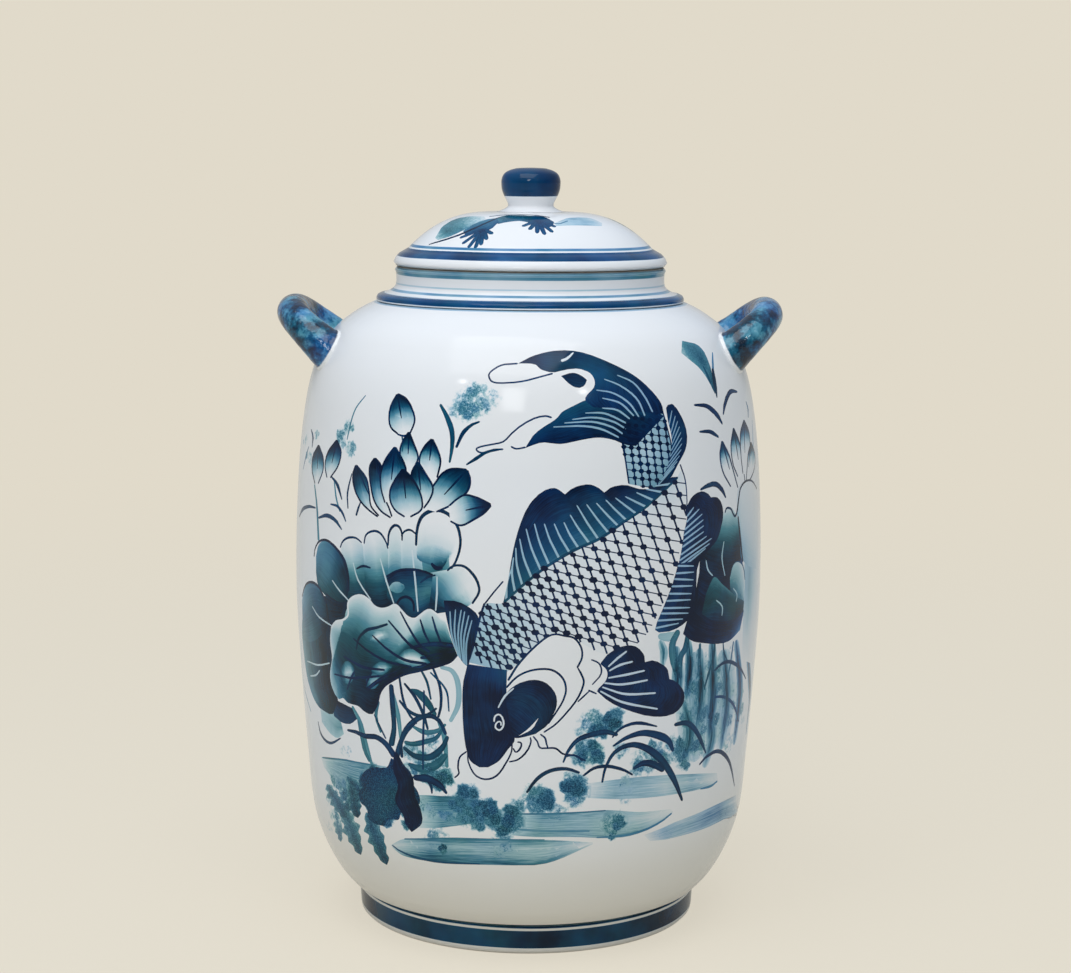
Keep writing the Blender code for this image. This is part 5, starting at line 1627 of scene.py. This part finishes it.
def petal(work, left, right, depth=1.0, bare=1):
    """One petal, darkest at its tip, with a thin line round it and a vein. bare is its share of white."""
    tones = PETAL_TONES + ((0.0, 0.0, 0.0),) * bare
    work.wash(left, right, tuple(tuple(tone * depth for tone in row) for row in tones), ((0.25,), (0.6,), (0.8,)),
              way=OVER)
    for side in (left, right):
        work.stroke(side, (2.2, 1.6, 1.4), (0.97 * depth,))
    tip = Vector(left[0])
    heart = (Vector(left[-1]) + Vector(right[-1])) / 2.0
    work.stroke([tuple(tip.lerp(heart, share)) for share in (0.0, 0.3, 0.62)], (1.4, 1.6, 0.6), (0.95 * depth,))


def paint_lotus(work):
    """Lotus in flower, its buds and the blades round it."""
    strokes(work, LEFT_BLADES)
    for left, right in BUDS + PETALS:
        petal(work, left, right)
    strokes(work, LOTUS_HEART)


def paint_leaves(work):
    """The broad leaf and the curled one in front of it."""
    washes(work, LEAF_FOLDS, OVER)
    alike(work, LEAF_VEINS, (0.8, 1.5, 0.9), 0.14, LIFT)
    strokes(work, LEAF_LOBES)
    work.wash(CURLED_LEAF_TOP, CURLED_LEAF_HEM, CURLED_TONES, ((0.95, 0.95, 0.9, 0.55),), way=OVER)
    for upper, lower, ink in CURLED_LIGHTS:
        work.wash(upper, lower, ((0.8, 0.7, 0.8), (0.6, ink, 0.6), (0.6, ink, 0.6), (0.8, 0.7, 0.8)), way=LIFT)
    strokes(work, CURLED_VEINS)
    work.stroke(CURLED_LEAF_TOP, (1.6, 2.0, 1.6), (0.05,), way=LIFT)
    work.stroke(CURLED_LEAF_HEM[10:], (1.4, 2.4, 1.4), (1.0,))
    washes(work, CURLED_ENDS)


def paint_roots(work):
    """Stems, roots and the sprays that hang from them."""
    strokes(work, LEFT_STEMS)
    work.wash(ROOTS[0], ROOTS[1], ROOTS_INK, ((0.2,), (0.5, 0.8, 0.4), (0.6, 0.9, 0.3)), stipple=0.75)
    work.wash(ROOT_TRUNK[0], ROOT_TRUNK[1], ((0.97, 0.97), (1.0, 0.97), (1.0, 1.0), (1.0, 0.97)), ((0.1, 0.4),))
    for x, y, tip_x, tip_y, size, ink in SIDE_LEAVES:
        root, tip = Vector((x, y)), Vector((tip_x, tip_y))
        side = Vector((root.y - tip.y, tip.x - root.x)).normalized()
        edges = []
        for way in (-1.0, 1.0):
            edges.append([root])
            for i in range(1, SIDE_LEAF_TEETH):
                out = size * sin(pi * i / SIDE_LEAF_TEETH) ** 0.6 * (1.0 if i % 2 else 0.66) * way
                out *= work.draw.uniform(0.75, 1.1)
                edges[-1].append(root.lerp(tip, i / SIDE_LEAF_TEETH) + side * out)
            edges[-1].append(tip)
        tones = [(ink * a, ink * b, ink * a) for a, b in SIDE_LEAF_TONES]
        work.wash(*edges, tones, ((0.9, 0.6, 0.9),), stipple=0.85)


def paint_water(work, table=WATER):
    """Water in broad flat strokes of a half-dry brush."""
    for upper, lower, ink, teal in table:
        faint = [tuple(0.2 * value for value in row) for row in (ink[0], ink[-1])]
        work.wash(upper, lower, (faint[0], *ink, faint[1]), ((teal,),), stipple=-0.8)


def paint_mist(work):
    """Ripples on the water, and reeds in the mist behind it."""
    strokes(work, WATER_LINES)
    for spine, widths, ink, teal in MIST:
        work.stroke(spine, widths, [ink * share for share in MIST_SHARES], (teal,), core=1.0, stipple=-1.0, edge=0.2)


def paint_dabs(work):
    """Foliage dabbed on with the sponge: a pale touch and three darker ones to each clump."""
    for x, y, size, ink in DABS:
        work.clump((x, y), size * 1.25, ink * 0.6, work.draw.uniform(0.6, 0.95))
        for _ in range(3):
            turn, out = work.draw.uniform(0.0, 2.0 * pi), size * 0.6 * work.draw.random() ** 0.5
            work.clump((x + out * cos(turn), y + out * sin(turn)), size * work.draw.uniform(0.5, 0.75), ink * 0.88,
                       work.draw.uniform(0.4, 0.9))


def paint_far_plants(work):
    """Reed, lotus, leaf and grasses on the right."""
    work.wash(*FAR_REED, stipple=0.35)
    strokes(work, FAR_BLADES)
    for left, right in FAR_PETALS:
        petal(work, left, right, 0.92, 5)
    washes(work, FAR_LEAF, OVER)
    alike(work, FAR_LEAF_LIGHTS, (0.8, 1.4, 0.8), 0.2, LIFT)
    strokes(work, FAR_LEAF_LINES)
    strokes(work, RIGHT_GRASS)
    work.stroke(FAR_TUFT, (5, 9, 4), (0.3, 0.2), (0.9,))


def paint_spray(work, leaves=SPRAY_LEAVES):
    """A twig of leaves on the lid."""
    strokes(work, SPRAY)
    for heart, tips in FANS:
        for tip in tips:
            middle = ((heart[0] + tip[0]) / 2.0, (heart[1] + tip[1]) / 2.0)
            work.stroke((heart, middle, tip), (2.8, 4.6, 3.6), (0.9, 0.76), (0.05, 0.2), stipple=0.4)
    for upper, lower, ink, teal, stipple in leaves:
        work.wash(upper, lower, ink, teal, stipple=stipple)


def aside(skin, turn, middle, flip):
    """Places picture spots round the side: degrees from the front, the spot that comes there, and a flip."""
    start = skin.front(middle).x

    def place(spot):
        there = skin.front(spot)
        return Vector((skin.ring * radians(turn) + flip * (there.x - start), there.y))

    return place


def paint_back(work):
    """The motifs again on the side that the front view hides."""
    plants = (paint_near_water, paint_roots, paint_leaves, paint_lotus, paint_back_fold)
    for spots, motifs in ((BACK_PLANTS, plants), (BACK_GRASSES, (paint_grass,))):
        for where in spots:
            work.place = aside(work.skin, *where)
            for motif in motifs:
                motif(work)
    work.place = work.skin.front


def paint_near_water(work):
    """Water under the roots behind."""
    paint_water(work, WATER[:1])


def paint_back_fold(work):
    """The end of the leaf behind, where no carp covers it."""
    work.wash(BACK_FOLD[0], BACK_FOLD[1], BACK_FOLD_INK, ((0.8, 0.9, 0.4),), way=OVER)
    work.stroke(BACK_FOLD[0], (1.4, 2.4, 1.6), (0.92,))
    alike(work, BACK_FOLD[2:], (0.8, 1.5, 0.9), 0.14, LIFT)


def paint_grass(work):
    """A tuft of grass in the water, and clumps."""
    paint_water(work, WATER[4:5])
    strokes(work, RIGHT_GRASS[2:6])
    for x, y, size, ink in DABS[9:12] + DABS[19:22]:
        work.clump((x, y), size, ink, 0.8)


def painted_glaze(name, colours, bands=(), bare_above=None, bare_below=None):
    """White glaze over cobalt. Ink is the painting on the mesh, and bands by height.

    A band is (lowest, highest, ink, teal), the heights in millimetres. Above or below the bare
    heights the clay is unglazed.
    """
    material, tree, shader = blank_material(name)
    paint = node(tree, "ShaderNodeAttribute", attribute_name="paint")
    parts = node(tree, "ShaderNodeSeparateXYZ", {"Vector": paint.outputs["Vector"]})
    ink, teal, stipple = (parts.outputs[axis] for axis in "XYZ")
    where = on_object(tree)
    height = node(tree, "ShaderNodeSeparateXYZ", {"Vector": where}).outputs["Z"]
    waver = math(tree, "SUBTRACT", noise(tree, where, WAVER_SCALE, 1.0), 0.5)
    height = math(tree, "ADD", product(tree, height, 1.0 / MM), product(tree, waver, BAND_WAVER))
    load = between(tree, noise(tree, where, LOAD_SCALE), *NOISE_RANGE, 0.82, 1.12)
    outwards = node(tree, "ShaderNodeVectorMath", {0: where, 1: (1.0, 1.0, 0.0)}, operation="MULTIPLY").outputs[0]
    facing = node(tree, "ShaderNodeVectorMath", {0: outwards, 1: node(tree, "ShaderNodeNewGeometry").outputs["Normal"]},
                  operation="DOT_PRODUCT").outputs["Value"]
    load = product(tree, load, between(tree, facing, -0.004, -0.001))
    for low, high, band_ink, band_teal in bands:
        inside = product(tree, between(tree, height, low - BAND_SOFTNESS, low + BAND_SOFTNESS),
                         between(tree, height, high - BAND_SOFTNESS, high + BAND_SOFTNESS, 1.0, 0.0))
        ink = math(tree, "MAXIMUM", ink, product(tree, inside, load, band_ink))
        teal = math(tree, "ADD", teal, product(tree, inside, band_teal))
    colour = glaze_colour(tree, colours, ink, teal, stipple)
    rough = between(tree, noise(tree, where, GLOSS_SCALE), *NOISE_RANGE, *GLAZE_ROUGHNESS)
    for edge, over in ((bare_above, 1.0), (bare_below, -1.0)):
        if edge is not None:
            bare = between(tree, product(tree, height, over), edge * over - BARE_SOFTNESS, edge * over + BARE_SOFTNESS)
            colour = mix(tree, bare, colour, bare_clay(tree, colours))
            rough = math(tree, "ADD", rough, product(tree, bare, 0.6))
    ripple = math(tree, "ADD", noise(tree, where, RIPPLE_SCALE),
                  product(tree, noise(tree, where, PINHOLE_SCALE, 1.0), 0.02))
    feed(tree, shader, {"Base Color": colour, "Roughness": rough, "Specular IOR Level": GLAZE_SHINE,
                        "Normal": bumps(tree, ripple, 0.12, 2.0)})
    return material


def blank_material(name):
    """A new material, its node tree and its shader."""
    material = bpy.data.materials.new(name)
    material.use_nodes = True
    return material, material.node_tree, material.node_tree.nodes["Principled BSDF"]


def on_object(tree):
    """The place on the object that is being coloured."""
    return node(tree, "ShaderNodeTexCoord").outputs["Object"]


def bumps(tree, height, strength, depth):
    """Small unevenness of the surface. Depth is in millimetres."""
    return node(tree, "ShaderNodeBump", {"Strength": strength, "Distance": depth * MM, "Height": height}).outputs[0]


def bare_clay(tree, colours):
    """Colour of the unglazed clay."""
    grain = noise(tree, on_object(tree), CLAY_SCALE, 4.0, 0.7)
    return mix(tree, grain, (*colours.clay_pale, 1.0), (*colours.clay_dark, 1.0))


def bare_stoneware(colours):
    """Unglazed clay with its grain."""
    material, tree, shader = blank_material("bare_stoneware")
    grain = noise(tree, on_object(tree), CLAY_GRAIN_SCALE, 3.0, 0.6)
    feed(tree, shader, {"Base Color": bare_clay(tree, colours), "Roughness": CLAY_ROUGHNESS,
                        "Normal": bumps(tree, grain, 0.5, 0.4)})
    return material


def mottled_cobalt(colours):
    """Cobalt and teal laid on wet, broken and pooling, with white slip where a piece is luted on."""
    material, tree, shader = blank_material("mottled_cobalt")
    where = on_object(tree)
    broken = noise(tree, where, MOTTLE_SCALE, 4.0, 0.62)
    fine = noise(tree, where, MOTTLE_GRAIN_SCALE)
    depth = math(tree, "ADD", between(tree, broken, 0.38, 0.62, 0.44, 0.97),
                 product(tree, math(tree, "SUBTRACT", fine, 0.5), 0.4), True)
    hue = between(tree, noise(tree, where, MOTTLE_HUE_SCALE), 0.40, 0.60, 0.0, 0.75)
    colour = mix(tree, hue, ramp(tree, depth, COBALT_STOPS), ramp(tree, depth, TEAL_STOPS))
    lift = node(tree, "ShaderNodeAttribute", attribute_name="lift").outputs["Fac"]
    ragged = math(tree, "ADD", lift, product(tree, math(tree, "SUBTRACT", broken, 0.5), 3.0))
    colour = mix(tree, between(tree, ragged, 0.7, 1.9, 1.0, 0.0), colour, (*colours.glaze_warm, 1.0))
    lumps = math(tree, "ADD", noise(tree, where, LUMP_SCALE),
                 product(tree, noise(tree, where, SMALL_LUMP_SCALE), 0.25))
    feed(tree, shader, {"Base Color": colour, "Roughness": MOTTLE_ROUGHNESS, "Normal": bumps(tree, lumps, 0.55, 1.8)})
    return material


def ramp(tree, factor, stops):
    """A colour ramp with (place, colour) stops."""
    made = node(tree, "ShaderNodeValToRGB", {"Fac": factor})
    elements = made.color_ramp.elements
    elements[0].position, elements[1].position = stops[0][0], stops[-1][0]
    elements[0].color, elements[1].color = (*stops[0][1], 1.0), (*stops[-1][1], 1.0)
    for place, colour in stops[1:-1]:
        elements.new(place).color = (*colour, 1.0)
    return made.outputs["Color"]


def math(tree, operation, first, second=0.0, clamp=False):
    """The result of one sum."""
    return node(tree, "ShaderNodeMath", {0: first, 1: second}, operation=operation, use_clamp=clamp).outputs[0]


def product(tree, first, *others):
    """The product of two or more values."""
    for other in others:
        first = math(tree, "MULTIPLY", first, other)
    return first


def mix(tree, factor, first, second, blend="MIX"):
    """The mix of two colours."""
    made = node(tree, "ShaderNodeMix", data_type="RGBA", blend_type=blend)
    feed(tree, made, {0: factor, 6: first, 7: second})
    return made.outputs[2]


def noise(tree, where, scale, detail=2.0, rough=0.5):
    """Soft noise, from 0 to 1."""
    return node(tree, "ShaderNodeTexNoise", {"Vector": where, "Scale": scale, "Detail": detail, "Roughness": rough}
                ).outputs["Fac"]


def between(tree, value, low, high, to_low=0.0, to_high=1.0):
    """A smooth step from one value to another."""
    return node(tree, "ShaderNodeMapRange",
                {"Value": value, "From Min": low, "From Max": high, "To Min": to_low, "To Max": to_high},
                interpolation_type="SMOOTHSTEP").outputs[0]


def glaze_colour(tree, colours, ink, teal, stipple):
    """Colour of the glaze over a density of cobalt, with pooling, sponge grain and a painted warm shade towards the
    foot.
    """
    where = on_object(tree)
    pool = between(tree, noise(tree, where, POOL_SCALE), *NOISE_RANGE, 0.93, 1.05)
    brush = node(tree, "ShaderNodeAttribute", attribute_name="brush").outputs["Vector"]
    along = node(tree, "ShaderNodeVectorMath", {0: brush, 1: BRUSH_HAIRS}, operation="MULTIPLY").outputs[0]
    under = node(tree, "ShaderNodeSeparateXYZ", {"Vector": brush}).outputs["Z"]
    hairs = noise(tree, along, 1.0, 3.0, 0.6)
    wet = between(tree, hairs, *NOISE_RANGE, 0.93, 1.05)
    half_dry = product(tree, math(tree, "SUBTRACT", between(tree, hairs, 0.34, 0.66, 0.66, 1.22), wet),
                       math(tree, "MULTIPLY", stipple, -1.0, True))
    flat = product(tree, ink, product(tree, pool, math(tree, "ADD", wet, half_dry)))
    grain = noise(tree, where, SPONGE_SCALE, 2.0, 0.6)
    torn = math(tree, "SUBTRACT", noise(tree, where, TORN_EDGE_SCALE, 3.0, 0.6), 0.5)
    ragged = math(tree, "ADD", ink, product(tree, torn, 0.9))
    touched = product(tree, between(tree, ragged, 0.10, 0.48), between(tree, grain, *NOISE_RANGE, 0.62, 1.18),
                      math(tree, "ADD", product(tree, ink, 0.8), 0.14))
    touched = math(tree, "MAXIMUM", touched, product(tree, under, wet))
    sponged = math(tree, "MULTIPLY", stipple, 1.0, True)
    depth = math(tree, "ADD", product(tree, flat, math(tree, "SUBTRACT", 1.0, sponged)),
                 product(tree, touched, sponged), True)
    cobalt, green = ramp(tree, depth, COBALT_STOPS), ramp(tree, depth, TEAL_STOPS)
    hue = math(tree, "ADD", teal, between(tree, noise(tree, where, HUE_SCALE), 0.35, 0.65, -0.12, 0.18), True)
    body = mix(tree, between(tree, noise(tree, where, TONE_SCALE), *NOISE_RANGE), (*colours.glaze_cool, 1.0),
               (*colours.glaze_warm, 1.0))
    # Painted shade: the white glaze turns darker and warmer towards the foot, standing in for shade and the warm
    # floor's reflection.
    height = node(tree, "ShaderNodeSeparateXYZ", {"Vector": where}).outputs["Z"]
    body = mix(tree, between(tree, height, 0.02, 0.15, 1.0, 0.0), body, (*colours.glaze_foot_shade, 1.0))
    return mix(tree, 1.0, body, mix(tree, hue, cobalt, green), "MULTIPLY")


def stage_camera(scene):
    """The camera, where the eye of the picture frame is."""
    lens = bpy.data.cameras.new("camera")
    lens.sensor_width = SENSOR
    lens.lens = VIEW_FOCAL / VIEW_WIDE * SENSOR
    scene.camera = placed("camera", lens)
    scene.camera.matrix_world = (Matrix.Translation(EYE) @ Matrix.Rotation(pi / 2.0 - EYE_PITCH, 4, "X")
                                 @ Matrix.Rotation(EYE_ROLL, 4, "Z"))


def plainly_seen(tree, mirrored_share):
    """How much of the plain floor or wall a ray meets: all from the camera, a share from the glaze."""
    light = node(tree, "ShaderNodeLightPath").outputs
    mirrored = math(tree, "ADD", light["Is Glossy Ray"], light["Is Transmission Ray"], True)
    return math(tree, "ADD", light["Is Camera Ray"], product(tree, mirrored, mirrored_share), True)


def stage_floor(colours):
    """The floor: lit and shaded near the jar, its own plain colour further off."""
    mesh = bpy.data.meshes.new("floor")
    mesh.from_pydata([(x * FLOOR_REACH, y * FLOOR_REACH, 0.0) for x, y in ((-1, -1), (1, -1), (1, 1), (-1, 1))], [],
                     [(0, 1, 2, 3)])
    material, tree, shader = blank_material("plain_floor")
    feed(tree, shader, {"Base Color": (*colours.floor, 1.0), "Roughness": FLOOR_ROUGHNESS})
    reach = node(tree, "ShaderNodeVectorMath", {0: on_object(tree)}, operation="LENGTH").outputs["Value"]
    near = between(tree, reach, FLOOR_NEAR, FLOOR_FAR, 1.0, 0.0)
    strength = math(tree, "ADD", product(tree, near, FLOOR_GLOW_STRENGTH - 1.0), 1.0)
    glow = node(tree, "ShaderNodeEmission", {"Color": (*colours.floor, 1.0), "Strength": strength})
    share = product(tree, plainly_seen(tree, MIRRORED_SHARE),
                    math(tree, "SUBTRACT", 1.0, product(tree, near, 1.0 - FLOOR_GLOW)))
    both = node(tree, "ShaderNodeMixShader", {"Fac": share, 1: shader.outputs[0], 2: glow.outputs[0]})
    tree.links.new(both.outputs[0], tree.nodes["Material Output"].inputs["Surface"])
    mesh.materials.append(material)
    placed("floor", mesh)


def stage_room(scene, colours):
    """The light of the room, and the pale wall that the camera and the glaze see in it."""
    scene.world = bpy.data.worlds.new("world")
    scene.world.use_nodes = True
    tree = scene.world.node_tree
    direction = node(tree, "ShaderNodeSeparateXYZ",
                     {"Vector": node(tree, "ShaderNodeTexCoord").outputs["Generated"]}).outputs
    above = between(tree, direction["Z"], *ROOM_RISE)
    room = mix(tree, above, (*colours.room_low, 1.0), (*colours.room_high, 1.0))
    wall = product(tree, between(tree, direction["Z"], *WALL_TOP, 1.0, 0.0), between(tree, direction["Y"], *WALL_FRONT))
    pale = plainly_seen(tree, product(tree, wall, MIRRORED_SHARE))
    feed(tree, tree.nodes["Background"], {"Color": mix(tree, pale, room, (*colours.floor, 1.0))})


def stage_lamps():
    """The lamps. They light the jar but aren't seen."""
    for name, place, aim, width, height, watts in LAMPS:
        lamp = bpy.data.lights.new(name, "AREA")
        lamp.shape = "RECTANGLE"
        lamp.size, lamp.size_y, lamp.energy = width, height, watts
        thing = placed(name, lamp)
        thing.location = place
        thing.rotation_euler = (Vector(aim) - Vector(place)).to_track_quat("-Z", "Y").to_euler()
        thing.visible_camera = False


def colour(name, description, default, most=1.0):
    """A colour that can be changed in the panel."""
    return bpy.props.FloatVectorProperty(name=name, description=description, subtype="COLOR", size=3,
                                         default=default, min=0.0, max=most)


class RiceJarColours(bpy.types.PropertyGroup):
    """Colours of the glazes and of the stage."""

    glaze_cool: colour("Glaze, cool", "White glaze where it lies thick", (0.815, 0.83, 0.85))
    glaze_warm: colour("Glaze, warm", "White glaze where it lies thin", (0.81, 0.815, 0.82))
    # Painted shade and floor reflection: the colour the white glaze turns to near the foot.
    glaze_foot_shade: colour("Glaze, foot shade", "White glaze near the foot, darker and warmer as painted shade and floor reflection", (0.76, 0.73, 0.66))
    clay_pale: colour("Clay, pale", "Unglazed clay", (0.60, 0.54, 0.45))
    clay_dark: colour("Clay, dark", "Grain of the unglazed clay", (0.42, 0.35, 0.27))
    room_low: colour("Room, low", "Light of the room from the sides and below", (0.11, 0.14, 0.18), 2.0)
    room_high: colour("Room, high", "Light of the room from above", (0.60, 0.67, 0.76), 2.0)
    floor: colour("Floor", "Colour of the floor and of the wall behind", (0.752, 0.701, 0.591))


class RICEJAR_OT_body(bpy.types.Operator):
    """Make the painted body of the jar"""

    bl_idname = "ricejar.body"
    bl_label = "Painted Body"

    def execute(self, context):
        skin = body_skin()
        work = Brushwork(skin, BODY_SEED)
        for paint in (paint_water, paint_mist, paint_dabs, paint_roots, paint_far_plants, paint_leaves, paint_lotus,
                      paint_carp, paint_back):
            paint(work)
        glaze = painted_glaze("painted_glaze", context.scene.rice_jar_colours, BODY_BANDS)
        piece = turned(skin, "painted_body", glaze, TURN_COLUMNS, WALL_STEP, work, INSIDE_STEP)
        finished(piece, "jar", "jar_body")
        return {"FINISHED"}


class RICEJAR_OT_neck_and_foot(bpy.types.Operator):
    """Make the banded neck and the banded foot ring"""

    bl_idname = "ricejar.neck_and_foot"
    bl_label = "Neck and Foot"

    def execute(self, context):
        colours = context.scene.rice_jar_colours
        glaze = painted_glaze("neck_glaze", colours, NECK_BANDS, bare_above=NECK_BARE_ABOVE)
        piece = turned(collar_skin(), "neck", glaze, TURN_COLUMNS, BAND_STEP)
        finished(piece, "jar", "neck_collar")
        glaze = painted_glaze("foot_glaze", colours, FOOT_BANDS, bare_below=FOOT_BARE_BELOW)
        piece = turned(foot_skin(), "foot", glaze, TURN_COLUMNS, BAND_STEP)
        finished(piece, "jar", "foot_ring")
        return {"FINISHED"}


class RICEJAR_OT_lid(bpy.types.Operator):
    """Make the painted lid, its knob and its bare locating ring"""

    bl_idname = "ricejar.lid"
    bl_label = "Lid and Knob"

    def execute(self, context):
        colours = context.scene.rice_jar_colours
        skin = dome_skin()
        work = Brushwork(skin, LID_SEED)
        paint_spray(work)
        work.place = aside(skin, *BACK_SPRAY)
        paint_spray(work, SPRAY_LEAVES[:4])
        glaze = painted_glaze("lid_glaze", colours, LID_BANDS, bare_below=LID_BARE_BELOW)
        piece = turned(skin, "painted_lid", glaze, TURN_COLUMNS, LID_STEP, work)
        finished(piece, "lid", "lid_dome")
        piece = turned(locating_skin(), "locating_ring", bare_stoneware(colours), SMALL_TURN_COLUMNS, RING_STEP)
        finished(piece, "lid", "lid_locating_ring")
        glaze = painted_glaze("knob_glaze", colours, KNOB_BANDS)
        piece = turned(knob_skin(), "knob", glaze, SMALL_TURN_COLUMNS, KNOB_STEP)
        finished(piece, "lid", "lid_knob")
        return {"FINISHED"}


class RICEJAR_OT_handles(bpy.types.Operator):
    """Make the two mottled loop handles"""

    bl_idname = "ricejar.handles"
    bl_label = "Loop Handles"

    def execute(self, context):
        body = body_skin()
        glaze = mottled_cobalt(context.scene.rice_jar_colours)
        for solid, side, seed in HANDLES:
            piece = handle_piece(solid + "_roll", side, seed, body, glaze)
            finished(piece, "jar", solid)
        return {"FINISHED"}


class RICEJAR_OT_stage(bpy.types.Operator):
    """Make the floor, the light of the room, the lamps and the camera"""

    bl_idname = "ricejar.stage"
    bl_label = "Stage"

    def execute(self, context):
        colours = context.scene.rice_jar_colours
        stage_camera(context.scene)
        stage_floor(colours)
        stage_room(context.scene, colours)
        stage_lamps()
        context.scene.view_settings.view_transform = "Standard"
        return {"FINISHED"}


class RICEJAR_PT_panel(bpy.types.Panel):
    """Lists the pieces of the rice jar"""

    bl_idname = "RICEJAR_PT_panel"
    bl_label = "Rice Jar"
    bl_space_type = "VIEW_3D"
    bl_region_type = "UI"
    bl_category = "Rice Jar"

    def draw(self, context):
        for operator in OPERATORS:
            self.layout.operator(operator.bl_idname)
        for name in RiceJarColours.__annotations__:
            self.layout.prop(context.scene.rice_jar_colours, name)


OPERATORS = (RICEJAR_OT_body, RICEJAR_OT_neck_and_foot, RICEJAR_OT_lid, RICEJAR_OT_handles, RICEJAR_OT_stage)
CLASSES = (RiceJarColours,) + OPERATORS + (RICEJAR_PT_panel,)


def register():
    for each in CLASSES:
        bpy.utils.register_class(each)
    bpy.types.Scene.rice_jar_colours = bpy.props.PointerProperty(type=RiceJarColours)


def unregister():
    del bpy.types.Scene.rice_jar_colours
    for each in reversed(CLASSES):
        bpy.utils.unregister_class(each)


def main():
    register()
    bpy.ops.ricejar.body()
    bpy.ops.ricejar.neck_and_foot()
    bpy.ops.ricejar.lid()
    bpy.ops.ricejar.handles()
    bpy.ops.ricejar.stage()
    bpy.context.view_layer.update()


if __name__ == "__main__":
    main()
